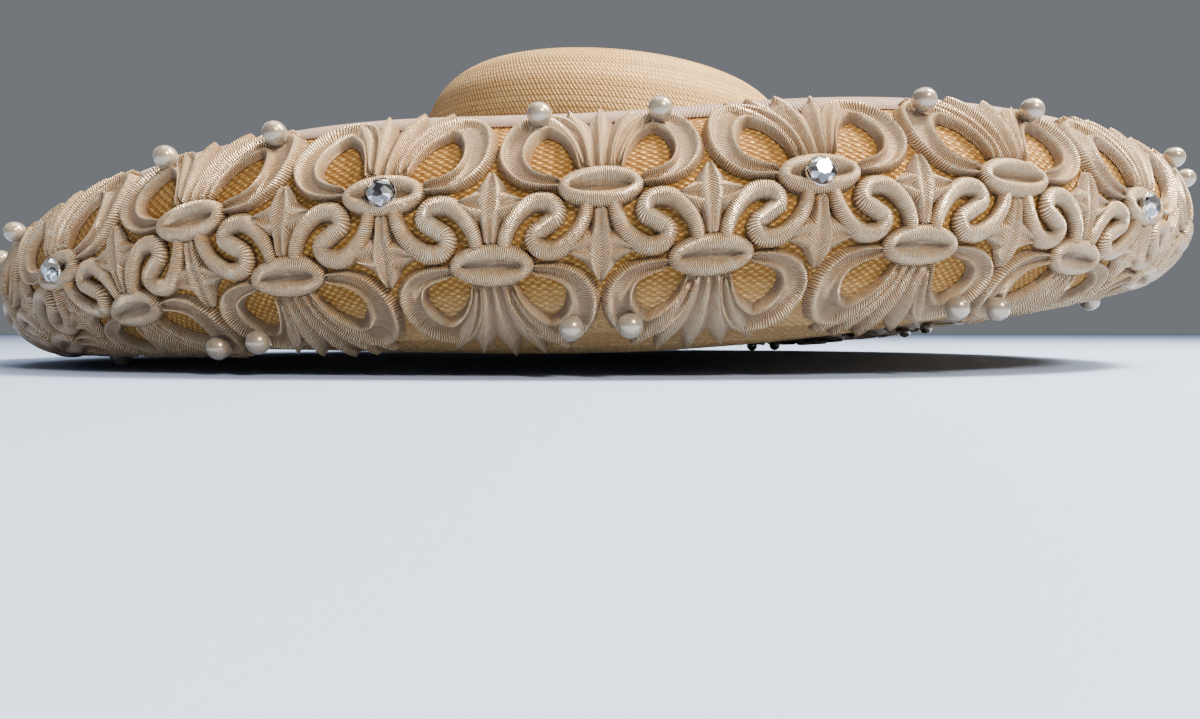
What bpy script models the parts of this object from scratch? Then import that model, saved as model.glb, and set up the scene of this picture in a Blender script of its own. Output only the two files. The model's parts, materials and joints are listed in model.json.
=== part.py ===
"""A wide-brimmed straw hat with a rolled edge, as it rests on a table.

The brim is one straw shell whose outer edge curls up and back. A pierced lace band with sewn pearls
is wrapped round the outside of the roll, cut crystals sit on every second motif, a ribbon binds the
edge, and a ribbon sweatband lines the foot of the oval crown. Metres, +Z up, front towards -Y.
"""

import math

import bmesh
import bpy
import numpy as np
from mathutils import Matrix, Vector
from mathutils.geometry import delaunay_2d_cdt

# Straw brim
BRIM_REACH = 0.253          # plan centre to the farthest side
BRIM_THICKNESS = 0.0018
BRIM_SWEEP = 0.026          # rise of the underside where the brim sweeps up
ROLL_SHARE = 0.432          # radius of the front's roll, of the brim's width there
ROLL_CURL = math.radians(82)   # how far past the widest line the front edge curls back

# Head opening
HEAD_WIDTH = 0.168
HEAD_DEPTH = 0.188
HEAD_FORWARD = 0.034        # the opening's centre in front of the brim's plan centre
HEAD_RISE = 0.032           # the opening's centre over the brim's lowest line
HEAD_LEAN = math.radians(4.5)  # towards the side where the brim sweeps up
HEAD_TURN = 0.005           # bend from the brim into its collar
COLLAR_HEIGHT = 0.010

# Crown and sweatband
CROWN_HEIGHT = 0.084
CROWN_TIP_SHARE = 0.70      # width of the flat tip, of the head opening's
CROWN_SHOULDER = 0.032      # height of the rounded shoulder under the tip
CROWN_THICKNESS = 0.0018
SWEATBAND_HEIGHT = 0.030
SWEATBAND_THICKNESS = 0.0012

# Ribbon round the edge
BINDING_WIDTH = 0.006
BINDING_THICKNESS = 0.0008

# Lace band
LACE_REPEATS = 24
LACE_INSET = 0.0075         # brim edge to the lace's outer scallops
LACE_WIDTH = 0.089
LACE_THICKNESS = 0.0018
LACE_PAD = 0.0012           # rise of a motif's oval over the lace
EYE_LENGTH = 0.0125         # a loop's cut-out
EYE_WIDTH = 0.0090

# Pearls and crystals
PEARL_DIAMETER = 0.0072
CRYSTAL_DIAMETER = 0.0084
CRYSTAL_HEIGHT = 0.0036
CRYSTAL_TABLE_SHARE = 0.55  # width of the flat table, of the crystal's
SETTING_HEIGHT = 0.0009

# Clearances between sewn pieces
FIT_GAP = 0.0003
LACE_GAP = 0.0011
EDGE_GAP = 0.0009

# Facets
LENGTH_SAMPLES = 720
SLOPE_SAMPLE = 0.0001       # step over the brim, and in radians round it, that its normal is read from
SAME_TURN = 1e-9            # turns closer than this are one
WELD = 10000                # flat points of the lace closer than a share 1 / WELD are one corner
FLAT_MERGE = 1e-5           # share of a repeat within which the triangulation joins corners
PEARL_FEET = 5             # sides of a pearl's foot and of its flat top, half of its girth's
CRYSTAL_SIDES = 8
EYE_SIDES = 6
PEARL_LEVELS = {"foot": (0.60, 0.0), "girth": (1.0, 0.85), "top": (0.58, 1.70)}   # radius, height in radii
ROUND_RINGS = 4

# The brim's sections, an eighth of a turn apart. Reach, roll, curl and lift are shares of
# BRIM_REACH, ROLL_SHARE, ROLL_CURL and BRIM_SWEEP.
SECTION_COLUMNS = ("reach", "roll", "curl", "lift")
BRIM_SECTIONS = {
    "front": (0.835, 1.000, 1.00, 0.00),
    "front_right": (0.945, 0.540, 0.98, 0.62),
    "right": (1.000, 0.309, 0.92, 1.00),
    "back_right": (0.955, 0.290, 0.90, 0.10),
    "back": (0.835, 0.407, 0.92, 0.30),
    "back_left": (0.885, 0.333, 0.90, 0.36),
    "left": (1.000, 0.280, 0.90, 0.00),
    "front_left": (0.940, 0.519, 0.96, 0.04),
}

# Rows of facets across the lace band, as shares of its width from its outer scallops
LACE_ROWS = (0.0, 0.13, 0.30, 0.43, 0.56, 0.69, 0.86, 1.0)
# Rows from the lace to the head opening, as shares of that stretch
INNER_ROWS = (0.5, 1.0)

# One repeat of the lace. Along is a share of the repeat, across is a share of the band's width.
LACE_OUTER_EDGE = {
    "notch": (-0.50, 0.13), "loop": (-0.34, 0.02), "dip": (-0.15, 0.05), "fan_tip": (0.0, 0.0),
}
LACE_INNER_EDGE = {
    "notch": (0.0, 0.86), "loop": (0.20, 0.94), "dip": (0.37, 0.87), "fan_tip": (0.50, 1.0),
}
LACE_EYES = {"upper": (0.25, 0.215, 25), "lower": (0.29, 0.760, -25)}   # along, across, tilt
LACE_OVALS = {"upper": (0.0, 0.39), "lower": (0.5, 0.61)}
PEARL_PLACES = {"upper": (0.29, 0.088), "lower": (0.13, 0.812)}

COLOURS = {
    "crown": ((0.72, 0.55, 0.30, 1.0), 0.62),
    "brim": ((0.76, 0.60, 0.36, 1.0), 0.60),
    "sweatband": ((0.30, 0.20, 0.13, 1.0), 0.70),
    "edge_binding": ((0.80, 0.66, 0.54, 1.0), 0.65),
    "lace_band": ((0.83, 0.75, 0.62, 1.0), 0.45),
    "crystal": ((0.80, 0.82, 0.86, 1.0), 0.08),
}


def smooth_around(column, turn):
    """A section value at any turn, on the smooth periodic curve through the table's rows."""
    place = SECTION_COLUMNS.index(column)
    rows = list(BRIM_SECTIONS.values())
    count = len(rows)
    total = 0.0
    for number, row in enumerate(rows):
        half = (turn - math.tau * number / count) / 2
        if abs(math.sin(half)) < SAME_TURN:
            return row[place]
        total += row[place] * math.sin(count * half) / (count * math.tan(half))
    return total


def head_frame():
    """The head opening's centre and its leaning side, back and up directions."""
    lean = Matrix.Rotation(HEAD_LEAN, 3, "Y")
    centre = Vector((0.0, -HEAD_FORWARD, HEAD_RISE))
    return centre, lean @ Vector((1, 0, 0)), Vector((0, 1, 0)), lean @ Vector((0, 0, 1))


def head_point(turn, rise=0.0, inset=0.0, share=1.0):
    """A point of the head's oval, raised along the crown and moved in by the inset."""
    centre, side, back, up = head_frame()
    half_width = HEAD_WIDTH / 2 * share - inset
    half_depth = HEAD_DEPTH / 2 * share - inset
    return centre + side * half_width * math.sin(turn) - back * half_depth * math.cos(turn) + up * rise


class Section:
    """The brim cut upright from the head opening to its outermost point."""

    def __init__(self, turn):
        self.foot = head_point(turn)
        reach = BRIM_REACH * smooth_around("reach", turn)
        outmost = Vector((reach * math.sin(turn), -reach * math.cos(turn), 0.0))
        run = outmost - Vector((self.foot.x, self.foot.y, 0.0))
        self.roll = ROLL_SHARE * smooth_around("roll", turn) * run.length
        self.curl = ROLL_CURL * smooth_around("curl", turn)
        self.out = run.normalized()
        self.centre_out = run.length - self.roll
        self.centre_up = BRIM_SWEEP * smooth_around("lift", turn) + self.roll
        rise = self.centre_up - self.foot.z
        far = math.hypot(self.centre_out, rise)
        self.slope = math.atan2(rise, self.centre_out) - math.asin(self.roll / far)
        self.arc = self.roll * (self.curl - self.slope + math.pi / 2)
        self.length = self.arc + math.sqrt(far ** 2 - self.roll ** 2)

    def point(self, along):
        """A point of the underside, at a distance from the edge measured over the straw."""
        angle = self.curl - min(along, self.arc) / self.roll
        back = max(along - self.arc, 0.0)
        out = self.centre_out + self.roll * math.cos(angle) - back * math.cos(self.slope)
        up = self.centre_up + self.roll * math.sin(angle) - back * math.sin(self.slope)
        return Vector((self.foot.x, self.foot.y, 0.0)) + self.out * out + Vector((0, 0, up))


def brim_point(turn, along, off=0.0):
    """A point at a height off the brim's outer face, out of the roll and under the brim."""
    here = Section(turn).point(along)
    if off == 0.0:
        return here
    ahead = Section(turn + SLOPE_SAMPLE).point(along) - here
    inward = Section(turn).point(along + SLOPE_SAMPLE) - here
    return here + ahead.cross(inward).normalized() * -off


def measure_band():
    """Turns and running lengths along the middle of the lace band."""
    turns = np.linspace(0.0, math.tau, LENGTH_SAMPLES + 1)
    middle = LACE_INSET + LACE_WIDTH / 2
    points = np.array([Section(turn).point(middle) for turn in turns])
    steps = np.linalg.norm(np.diff(points, axis=0), axis=1)
    return turns, np.concatenate(([0.0], np.cumsum(steps)))


BAND_TURNS, BAND_LENGTHS = measure_band()
REPEAT_LENGTH = BAND_LENGTHS[-1] / LACE_REPEATS


def band_turn(repeats):
    """The turn at a number of lace repeats from the front, by length along the band."""
    whole, part = divmod(repeats, LACE_REPEATS)
    return float(np.interp(part * REPEAT_LENGTH, BAND_LENGTHS, BAND_TURNS)) + math.tau * whole


REPEAT_TURNS = [band_turn(number) for number in range(LACE_REPEATS)]
COLUMNS = [band_turn(number / 2) for number in range(2 * LACE_REPEATS)]


def lace_point(along, across, off):
    """A point of the lace: along in repeats, across as a share of the width, off the lace's back."""
    return brim_point(band_turn(along), LACE_INSET + LACE_WIDTH * across, LACE_GAP + off)


def finish_object(name, mesh, colour_name):
    colour, roughness = COLOURS[colour_name]
    material = bpy.data.materials.get(colour_name) or bpy.data.materials.new(colour_name)
    material.use_nodes = True
    shader = material.node_tree.nodes["Principled BSDF"]
    shader.inputs["Base Color"].default_value = colour
    shader.inputs["Roughness"].default_value = roughness
    mesh.materials.append(material)
    part = bpy.data.objects.new(name, mesh)
    HAT.objects.link(part)
    part.parent = PLACE
    return part


def loft(name, rings, close_last=False, wrap_rings=False):
    """A mesh through rings of points, each ring running round the hat."""
    vertices = [point for ring in rings for point in ring]
    count = len(rings[0])
    faces = []
    pairs = len(rings) if wrap_rings else len(rings) - 1
    for row in range(pairs):
        near = row * count
        far = (row + 1) % len(rings) * count
        for column in range(count):
            following = (column + 1) % count
            faces.append((near + column, near + following, far + following, far + column))
    if close_last:
        faces.append(tuple(range((len(rings) - 1) * count, len(rings) * count)))
    mesh = bpy.data.meshes.new(name)
    mesh.from_pydata(vertices, [], faces)
    return mesh


def add_wall(part, thickness, offset):
    wall = part.modifiers.new("wall", "SOLIDIFY")
    wall.thickness = thickness
    wall.offset = offset
    wall.use_even_offset = True


def make_brim():
    """The straw shell from the edge to the collar that stands up round the crown."""
    rows = [0.0] + [LACE_INSET + LACE_WIDTH * share for share in LACE_ROWS]
    rings = [[brim_point(turn, row) for turn in COLUMNS] for row in rows]
    lace_end = rows[-1]
    for share in INNER_ROWS:
        ring = []
        for turn in COLUMNS:
            inner_end = Section(turn).length - HEAD_TURN
            ring.append(brim_point(turn, lace_end + (inner_end - lace_end) * share))
        rings.append(ring)
    bend = []
    for column, turn in enumerate(COLUMNS):
        start = rings[-1][column]
        end = head_point(turn, HEAD_TURN)
        bend.append(start / 4 + head_point(turn) / 2 + end / 4)
    rings.append(bend)
    rings.append([head_point(turn, HEAD_TURN) for turn in COLUMNS])
    rings.append([head_point(turn, COLLAR_HEIGHT) for turn in COLUMNS])
    brim = finish_object("brim", loft("brim", rings), "brim")
    add_wall(brim, BRIM_THICKNESS, 1.0)
    return brim


def make_crown():
    """An upright oval wall with a rounded shoulder and a flat tip."""
    wall_top = CROWN_HEIGHT - CROWN_SHOULDER
    rings = [[head_point(turn, 0.0, FIT_GAP) for turn in REPEAT_TURNS]]
    for number in range(ROUND_RINGS + 1):
        angle = math.pi / 2 * number / ROUND_RINGS
        share = CROWN_TIP_SHARE + (1 - CROWN_TIP_SHARE) * math.cos(angle)
        rise = wall_top + CROWN_SHOULDER * math.sin(angle)
        rings.append([head_point(turn, rise, FIT_GAP, share) for turn in REPEAT_TURNS])
    crown = finish_object("crown", loft("crown", rings, close_last=True), "crown")
    add_wall(crown, CROWN_THICKNESS, -1.0)
    return crown


def make_sweatband():
    """A ribbon inside the foot of the crown."""
    inset = CROWN_THICKNESS + 2 * FIT_GAP
    rings = []
    for rise in (0.0, SWEATBAND_HEIGHT):
        rings.append([head_point(turn, rise, inset) for turn in REPEAT_TURNS])
    sweatband = finish_object("sweatband", loft("sweatband", rings), "sweatband")
    add_wall(sweatband, SWEATBAND_THICKNESS, -1.0)
    return sweatband


def make_edge_binding():
    """A ribbon folded over the brim's edge, with a leg on each face of the straw."""
    outer = FIT_GAP
    inner = -BRIM_THICKNESS - FIT_GAP
    fold = -EDGE_GAP
    legs = (
        (BINDING_WIDTH, outer), (BINDING_WIDTH, outer + BINDING_THICKNESS),
        (fold - BINDING_THICKNESS, outer + BINDING_THICKNESS),
        (fold - BINDING_THICKNESS, inner - BINDING_THICKNESS),
        (BINDING_WIDTH, inner - BINDING_THICKNESS), (BINDING_WIDTH, inner),
        (fold, inner), (fold, outer),
    )
    rings = [[brim_point(turn, along, off) for turn in COLUMNS] for along, off in legs]
    return finish_object("edge_binding", loft("edge_binding", rings, wrap_rings=True), "edge_binding")


def oval_outline(centre, length, width, tilt, sides):
    """An oval in shares of the repeat and the width, from real sizes."""
    outline = []
    for number in range(sides):
        angle = math.tau * number / sides
        along = length / 2 * math.cos(angle)
        across = width / 2 * math.sin(angle)
        turned_along = along * math.cos(tilt) - across * math.sin(tilt)
        turned_across = along * math.sin(tilt) + across * math.cos(tilt)
        outline.append(Vector((centre[0] + turned_along / REPEAT_LENGTH,
                               centre[1] + turned_across / LACE_WIDTH)))
    return outline


def inside(outline, spot):
    """Whether a flat spot lies inside a closed outline."""
    found = False
    for number, near in enumerate(outline):
        far = outline[number - 1]
        if (near.y > spot.y) != (far.y > spot.y):
            if spot.x < near.x + (far.x - near.x) * (spot.y - near.y) / (far.y - near.y):
                found = not found
    return found


def lace_outline():
    """The scalloped outline of one repeat."""
    left = [Vector(place) for place in LACE_OUTER_EDGE.values()]
    right = [Vector((-place.x, place.y)) for place in reversed(left[:-1])]
    inner_right = [Vector(place) for place in reversed(LACE_INNER_EDGE.values())]
    inner_left = [Vector((-place.x, place.y)) for place in reversed(inner_right[:-1])]
    return left + right + inner_right + inner_left


def lace_eyes():
    """The cut-outs of one repeat's four loops."""
    eyes = []
    for along, across, tilt in LACE_EYES.values():
        for side in (-1, 1):
            centre = (side * along, across)
            eyes.append(oval_outline(centre, EYE_LENGTH, EYE_WIDTH, side * math.radians(tilt), EYE_SIDES))
    return eyes


def lace_pearls():
    """The feet of one repeat's four pearls."""
    pearls = []
    for along, across in PEARL_PLACES.values():
        for side in (-1, 1):
            width = PEARL_DIAMETER * PEARL_LEVELS["foot"][0]
            pearls.append(oval_outline((side * along, across), width, width, 0.0, PEARL_FEET))
    return pearls


def flat_repeat(pearls):
    """One repeat as flat triangles, without its cut-outs and the feet of its pearls."""
    outline = lace_outline()
    eyes = lace_eyes()
    vertices, edges = [], []
    for loop in [outline] + eyes + pearls:
        start = len(vertices)
        vertices += loop
        edges += [(start + step, start + (step + 1) % len(loop)) for step in range(len(loop))]
    side = LACE_INNER_EDGE["fan_tip"][0]
    for share in LACE_ROWS[1:-1]:
        edges.append((len(vertices), len(vertices) + 1))
        vertices += [Vector((-side, share)), Vector((side, share))]
    edges.append((len(vertices), len(vertices) + 1))
    vertices += [Vector(LACE_OUTER_EDGE["fan_tip"]), Vector((0.0, LACE_ROWS[-1]))]
    for along, across in LACE_OVALS.values():
        vertices += [Vector((along, across)), Vector((-along, across))]
    points, _, triangles, *_ = delaunay_2d_cdt(vertices, edges, [], 0, FLAT_MERGE)
    kept = []
    for triangle in triangles:
        middle = sum((points[corner] for corner in triangle), Vector((0, 0))) / 3
        if inside(outline, middle) and not any(inside(hole, middle) for hole in eyes + pearls):
            kept.append(triangle)
    return points, kept


def add_pearl(mesh, feet, centre, normal):
    """Facets of a pearl that stands on its foot ring: a girth of twice as many sides and a flat top."""
    radius = PEARL_DIAMETER / 2

    def level(name, spokes):
        share, height = PEARL_LEVELS[name]
        middle = centre + normal * height * radius
        return [mesh.verts.new(middle + spoke * share * radius) for spoke in spokes]

    spokes = [(foot.co - centre).normalized() for foot in feet]
    between = [(spokes[number - 1] + spoke).normalized() for number, spoke in enumerate(spokes)]
    girth = level("girth", [spoke for pair in zip(between, spokes) for spoke in pair])
    top = level("top", spokes)
    for number in range(PEARL_FEET):
        following = (number + 1) % PEARL_FEET
        before, here, after = girth[2 * number], girth[2 * number + 1], girth[2 * following]
        for ring in (feet, top):
            mesh.faces.new((ring[number], here, before))
            mesh.faces.new((ring[number], after, here))
            mesh.faces.new((ring[number], ring[following], after))
    mesh.faces.new(top)


def make_lace_band():
    """The pierced band, all repeats joined round the hat, with its pearls."""
    mesh = bmesh.new()
    backs, fronts = {}, {}
    pads = {(round(side * along * WELD), round(across * WELD))
            for along, across in LACE_OVALS.values() for side in (-1, 1)}

    def corner(face, repeat, spot):
        key = (round((repeat + spot.x) * WELD) % (LACE_REPEATS * WELD), round(spot.y * WELD))
        if key not in face:
            pad = LACE_PAD if (round(spot.x * WELD), round(spot.y * WELD)) in pads else 0.0
            off = LACE_THICKNESS + pad if face is fronts else 0.0
            face[key] = mesh.verts.new(lace_point(repeat + spot.x, spot.y, off))
        return face[key]

    plain = flat_repeat([])
    beaded = flat_repeat(lace_pearls())
    for repeat in range(LACE_REPEATS):
        has_pearls = repeat % 2 == 0
        points, triangles = plain
        for triangle in triangles:
            mesh.faces.new([corner(backs, repeat, points[number]) for number in triangle])
        points, triangles = beaded if has_pearls else plain
        for triangle in triangles:
            mesh.faces.new([corner(fronts, repeat, points[number]) for number in triangle])
        for foot in lace_pearls() if has_pearls else []:
            feet = [corner(fronts, repeat, spot) for spot in foot]
            middle = sum(foot, Vector((0, 0))) / len(foot)
            centre = lace_point(repeat + middle.x, middle.y, LACE_THICKNESS)
            above = lace_point(repeat + middle.x, middle.y, LACE_THICKNESS + PEARL_DIAMETER)
            add_pearl(mesh, feet, centre, (above - centre).normalized())
    pair = {back: fronts[key] for key, back in backs.items()}
    for edge in [edge for edge in mesh.edges if edge.is_boundary and edge.verts[0] in pair]:
        loop = edge.link_loops[0]
        start, end = loop.edge.other_vert(loop.vert), loop.vert
        mesh.faces.new((start, end, pair[end], pair[start]))
    bmesh.ops.recalc_face_normals(mesh, faces=mesh.faces)
    lace = bpy.data.meshes.new("lace_band")
    mesh.to_mesh(lace)
    mesh.free()
    return finish_object("lace_band", lace, "lace_band")


def crystal_mesh():
    """A round-cut stone in a low cup: a cup wall, crown facets and a flat table."""
    mesh = bmesh.new()
    radius = CRYSTAL_DIAMETER / 2
    levels = ((radius, 0.0), (radius, SETTING_HEIGHT), (radius * CRYSTAL_TABLE_SHARE, CRYSTAL_HEIGHT))
    rings = []
    for wide, level in levels:
        ring = []
        for number in range(CRYSTAL_SIDES):
            angle = math.tau * number / CRYSTAL_SIDES
            ring.append(mesh.verts.new((wide * math.cos(angle), wide * math.sin(angle), level)))
        rings.append(ring)
    for lower, upper in zip(rings, rings[1:]):
        for step in range(CRYSTAL_SIDES):
            following = (step + 1) % CRYSTAL_SIDES
            mesh.faces.new((lower[step], lower[following], upper[following], upper[step]))
    mesh.faces.new(reversed(rings[0]))
    mesh.faces.new(rings[-1])
    crystal = bpy.data.meshes.new("crystal")
    mesh.to_mesh(crystal)
    mesh.free()
    return crystal


def make_crystals():
    """A crystal on the oval of every second motif of the outer row."""
    crystals = []
    along, across = LACE_OVALS["upper"]
    for number, repeat in enumerate(range(1, LACE_REPEATS, 2), start=1):
        seat_height = LACE_THICKNESS + LACE_PAD + FIT_GAP
        seat = lace_point(repeat + along, across, seat_height)
        normal = lace_point(repeat + along, across, seat_height + CRYSTAL_HEIGHT) - seat
        crystal = finish_object(f"crystal_{number:02d}", crystal_mesh(), "crystal")
        crystal.location = seat
        crystal.rotation_euler = normal.to_track_quat("Z", "Y").to_euler()
        crystals.append(crystal)
    return crystals


def stand_on_table(parts):
    """Moves the hat so that the middle of its box is over the origin and its lowest point on z = 0."""
    bpy.context.view_layer.update()
    depsgraph = bpy.context.evaluated_depsgraph_get()
    corners = []
    for part in parts:
        shown = part.evaluated_get(depsgraph)
        corners += [shown.matrix_world @ vertex.co for vertex in shown.to_mesh().vertices]
        shown.to_mesh_clear()
    spots = np.array(corners)
    low, high = spots.min(axis=0), spots.max(axis=0)
    PLACE.location = (-(low[0] + high[0]) / 2, -(low[1] + high[1]) / 2, -low[2])


for old in list(bpy.data.objects):
    bpy.data.objects.remove(old, do_unlink=True)

HAT = bpy.data.collections.new("rolled_brim_hat")
bpy.context.scene.collection.children.link(HAT)
PLACE = bpy.data.objects.new("place", None)
HAT.objects.link(PLACE)

PARTS = [make_brim(), make_crown(), make_sweatband(), make_edge_binding(), make_lace_band()]
PARTS += make_crystals()
stand_on_table(PARTS)
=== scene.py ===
"""The looks of a rolled-brim straw hat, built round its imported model.

Sewn straw braid makes the brim and the crown, a grosgrain ribbon binds the edge, and a band of corded
lace is wrapped round the roll, with sewn pearls and foil-backed crystals. Metres, +Z up, front to -Y.
"""

import json
import math

import bpy
import numpy as np
from mathutils import Euler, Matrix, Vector

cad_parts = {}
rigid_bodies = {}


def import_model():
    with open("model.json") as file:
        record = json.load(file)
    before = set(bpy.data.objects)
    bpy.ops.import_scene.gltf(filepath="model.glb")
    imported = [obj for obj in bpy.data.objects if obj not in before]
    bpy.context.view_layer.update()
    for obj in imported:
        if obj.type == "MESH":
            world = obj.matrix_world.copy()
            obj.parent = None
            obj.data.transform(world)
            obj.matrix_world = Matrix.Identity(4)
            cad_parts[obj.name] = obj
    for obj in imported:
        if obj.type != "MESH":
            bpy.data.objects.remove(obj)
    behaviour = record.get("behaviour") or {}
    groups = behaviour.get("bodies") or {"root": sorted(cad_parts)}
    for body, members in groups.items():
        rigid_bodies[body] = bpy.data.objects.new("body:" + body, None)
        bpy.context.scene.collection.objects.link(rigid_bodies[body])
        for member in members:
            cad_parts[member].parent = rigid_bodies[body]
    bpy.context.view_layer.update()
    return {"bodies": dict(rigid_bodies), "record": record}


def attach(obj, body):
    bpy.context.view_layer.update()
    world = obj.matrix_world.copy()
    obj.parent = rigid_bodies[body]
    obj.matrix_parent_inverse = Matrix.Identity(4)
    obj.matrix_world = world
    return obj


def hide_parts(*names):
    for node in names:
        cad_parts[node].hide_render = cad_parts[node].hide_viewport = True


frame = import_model()
BODY = next(iter(frame["bodies"]))

bl_info = {
    "name": "Rolled-brim straw hat",
    "version": (1, 0, 0),
    "blender": (4, 5, 0),
    "location": "3D View > Sidebar > Hat",
    "description": "Dresses the packed hat in straw braid, corded lace, ribbon, pearls and crystals",
    "category": "Add Mesh",
}

MM = 0.001
PHOTO_WIDTH = 1200
NORMAL_STEP = 1e-4            # turn and length between the points that give the brim's normals

# The brim and the head opening, as in the part's source
BRIM_REACH = 0.253
BRIM_THICKNESS = 0.0018
BRIM_SWEEP = 0.026
ROLL_SHARE = 0.432
ROLL_CURL = math.radians(82)
HEAD_WIDTH = 0.168
HEAD_DEPTH = 0.188
HEAD_LEAN = math.radians(4.5)
HEAD_TURN = 0.005
COLLAR_HEIGHT = 0.010
CROWN_HEIGHT = 0.084
CROWN_TIP_SHARE = 0.70
CROWN_SHOULDER = 0.032
CROWN_WALL = CROWN_HEIGHT - CROWN_SHOULDER
CROWN_THICKNESS = 0.0018
SWEATBAND_HEIGHT = 0.030
SWEATBAND_THICKNESS = 0.0012
BINDING_WIDTH = 0.006
BINDING_THICKNESS = 0.0008
LACE_REPEATS = 24
LACE_INSET = 0.0075
LACE_WIDTH = 0.089
PEARL_DIAMETER = 0.0072
CRYSTAL_DIAMETER = 0.0084
FIT_GAP = 0.0003
EDGE_GAP = 0.0009
LENGTH_SAMPLES = 720

# Sections an eighth of a turn apart from the front, as shares of the sizes above
SECTIONS = {
    "reach": (0.835, 0.945, 1.000, 0.955, 0.835, 0.885, 1.000, 0.940),
    "roll": (1.000, 0.540, 0.309, 0.290, 0.407, 0.333, 0.280, 0.519),
    "curl": (1.00, 0.98, 0.92, 0.90, 0.90, 0.90, 0.90, 0.96),
    "lift": (0.00, 0.62, 1.00, 0.10, 0.30, 0.36, 0.00, 0.04),
}


def mount_place(name):
    """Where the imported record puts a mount."""
    return np.array(next(m["pos_m"] for m in frame["record"]["mounts"] if m["name"] == name))


HEAD_CENTRE = mount_place("head_opening")
HEAD_RISE = 0.032
HEAD_FORWARD = 0.034
PLACE = HEAD_CENTRE + np.array((0.0, HEAD_FORWARD, -HEAD_RISE))
SIDE = np.array((math.cos(HEAD_LEAN), 0.0, -math.sin(HEAD_LEAN)))
UP = np.array((math.sin(HEAD_LEAN), 0.0, math.cos(HEAD_LEAN)))
BACK = np.array((0.0, 1.0, 0.0))


# Surface of the brim

def around(column, turn):
    """A section value at any turn, on the smooth periodic curve through the table's values."""
    values = np.array(SECTIONS[column])
    count = len(values)
    half = (np.asarray(turn, float)[..., None] - math.tau * np.arange(count) / count) / 2
    flat = np.abs(np.sin(half)) < 1e-9
    safe = np.where(flat, 1.0, half)
    kernel = np.where(flat, 1.0, np.sin(count * safe) / (count * np.tan(safe)))
    return kernel @ values


def head_points(turn, rise=0.0, inset=0.0, share=1.0):
    """Points of the head's oval, raised along the crown and moved in by the inset."""
    turn, rise, inset, share = np.broadcast_arrays(turn, rise, inset, share)
    half_width = HEAD_WIDTH / 2 * share - inset
    half_depth = HEAD_DEPTH / 2 * share - inset
    return (HEAD_CENTRE + SIDE * (half_width * np.sin(turn))[..., None]
            - BACK * (half_depth * np.cos(turn))[..., None] + UP * rise[..., None])


def brim_sections(turn):
    """The brim's upright sections at an array of turns."""
    foot = head_points(turn)
    reach = BRIM_REACH * around("reach", turn)
    outmost = np.stack([reach * np.sin(turn) + PLACE[0], -reach * np.cos(turn) + PLACE[1]], axis=-1)
    run = outmost - foot[..., :2]
    width = np.linalg.norm(run, axis=-1)
    roll = ROLL_SHARE * around("roll", turn) * width
    curl = ROLL_CURL * around("curl", turn)
    centre_out = width - roll
    centre_up = PLACE[2] + BRIM_SWEEP * around("lift", turn) + roll
    rise = centre_up - foot[..., 2]
    far = np.hypot(centre_out, rise)
    slope = np.arctan2(rise, centre_out) - np.arcsin(roll / far)
    arc = roll * (curl - slope + math.pi / 2)
    return {"foot": foot, "out": run / width[..., None], "roll": roll, "curl": curl, "slope": slope,
            "centre_out": centre_out, "centre_up": centre_up, "arc": arc,
            "length": arc + np.sqrt(far ** 2 - roll ** 2)}


def underside(turn, along):
    """Points of the brim's outer face, at distances from the edge measured over the straw."""
    turn, along = np.broadcast_arrays(turn, along)
    s = brim_sections(turn)
    angle = s["curl"] - np.minimum(along, s["arc"]) / s["roll"]
    back = np.maximum(along - s["arc"], 0.0)
    out = s["centre_out"] + s["roll"] * np.cos(angle) - back * np.cos(s["slope"])
    up = s["centre_up"] + s["roll"] * np.sin(angle) - back * np.sin(s["slope"])
    flat = s["foot"][..., :2] + s["out"] * out[..., None]
    return np.concatenate([flat, up[..., None]], axis=-1)


def outward(turn, along):
    """The brim's outer normals, out of the roll and under the brim."""
    here = underside(turn, along)
    across = np.cross(underside(np.add(turn, NORMAL_STEP), along) - here,
                      underside(turn, np.add(along, NORMAL_STEP)) - here)
    return -across / np.linalg.norm(across, axis=-1, keepdims=True)


def brim_points(turn, along, off=0.0):
    """Points at a height off the brim's outer face."""
    turn, along, off = np.broadcast_arrays(turn, along, off)
    return underside(turn, along) + outward(turn, along) * off[..., None]


def running_lengths(points):
    """Lengths along a line of points, from 0 at its first."""
    steps = np.linalg.norm(np.diff(points, axis=0), axis=1)
    return np.concatenate(([0.0], np.cumsum(steps)))


def girth_lengths(ring):
    """Lengths along a closed ring of points, all the way back to its first."""
    return running_lengths(np.concatenate([ring, ring[:1]]))


def measure_band():
    """Turns and running lengths along the middle of the lace band."""
    turns = np.linspace(0.0, math.tau, LENGTH_SAMPLES + 1)
    return turns, running_lengths(underside(turns, LACE_INSET + LACE_WIDTH / 2))


BAND_TURNS, BAND_LENGTHS = measure_band()
REPEAT = BAND_LENGTHS[-1] / LACE_REPEATS


def band_turn(length):
    """The turn at a running length along the band, which may pass the front more than once."""
    whole, part = np.divmod(length, BAND_LENGTHS[-1])
    return np.interp(part, BAND_LENGTHS, BAND_TURNS) + math.tau * whole


# Meshes

def link_object(name, data):
    """A new object in the scene, in place of an older one of this name."""
    old = bpy.data.objects.get(name)
    if old:
        bpy.data.objects.remove(old, do_unlink=True)
    thing = bpy.data.objects.new(name, data)
    bpy.context.scene.collection.objects.link(thing)
    return thing


def add_object(name, vertices, faces, uvs=None):
    """A smooth mesh object from arrays, with one UV per face corner where given."""
    mesh = bpy.data.meshes.new(name)
    mesh.from_pydata([tuple(v) for v in vertices], [], [tuple(f) for f in faces])
    if uvs is not None:
        mesh.uv_layers.new(name="UVMap").data.foreach_set("uv", np.asarray(uvs, float).ravel())
    mesh.shade_smooth()
    return link_object(name, mesh)


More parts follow.
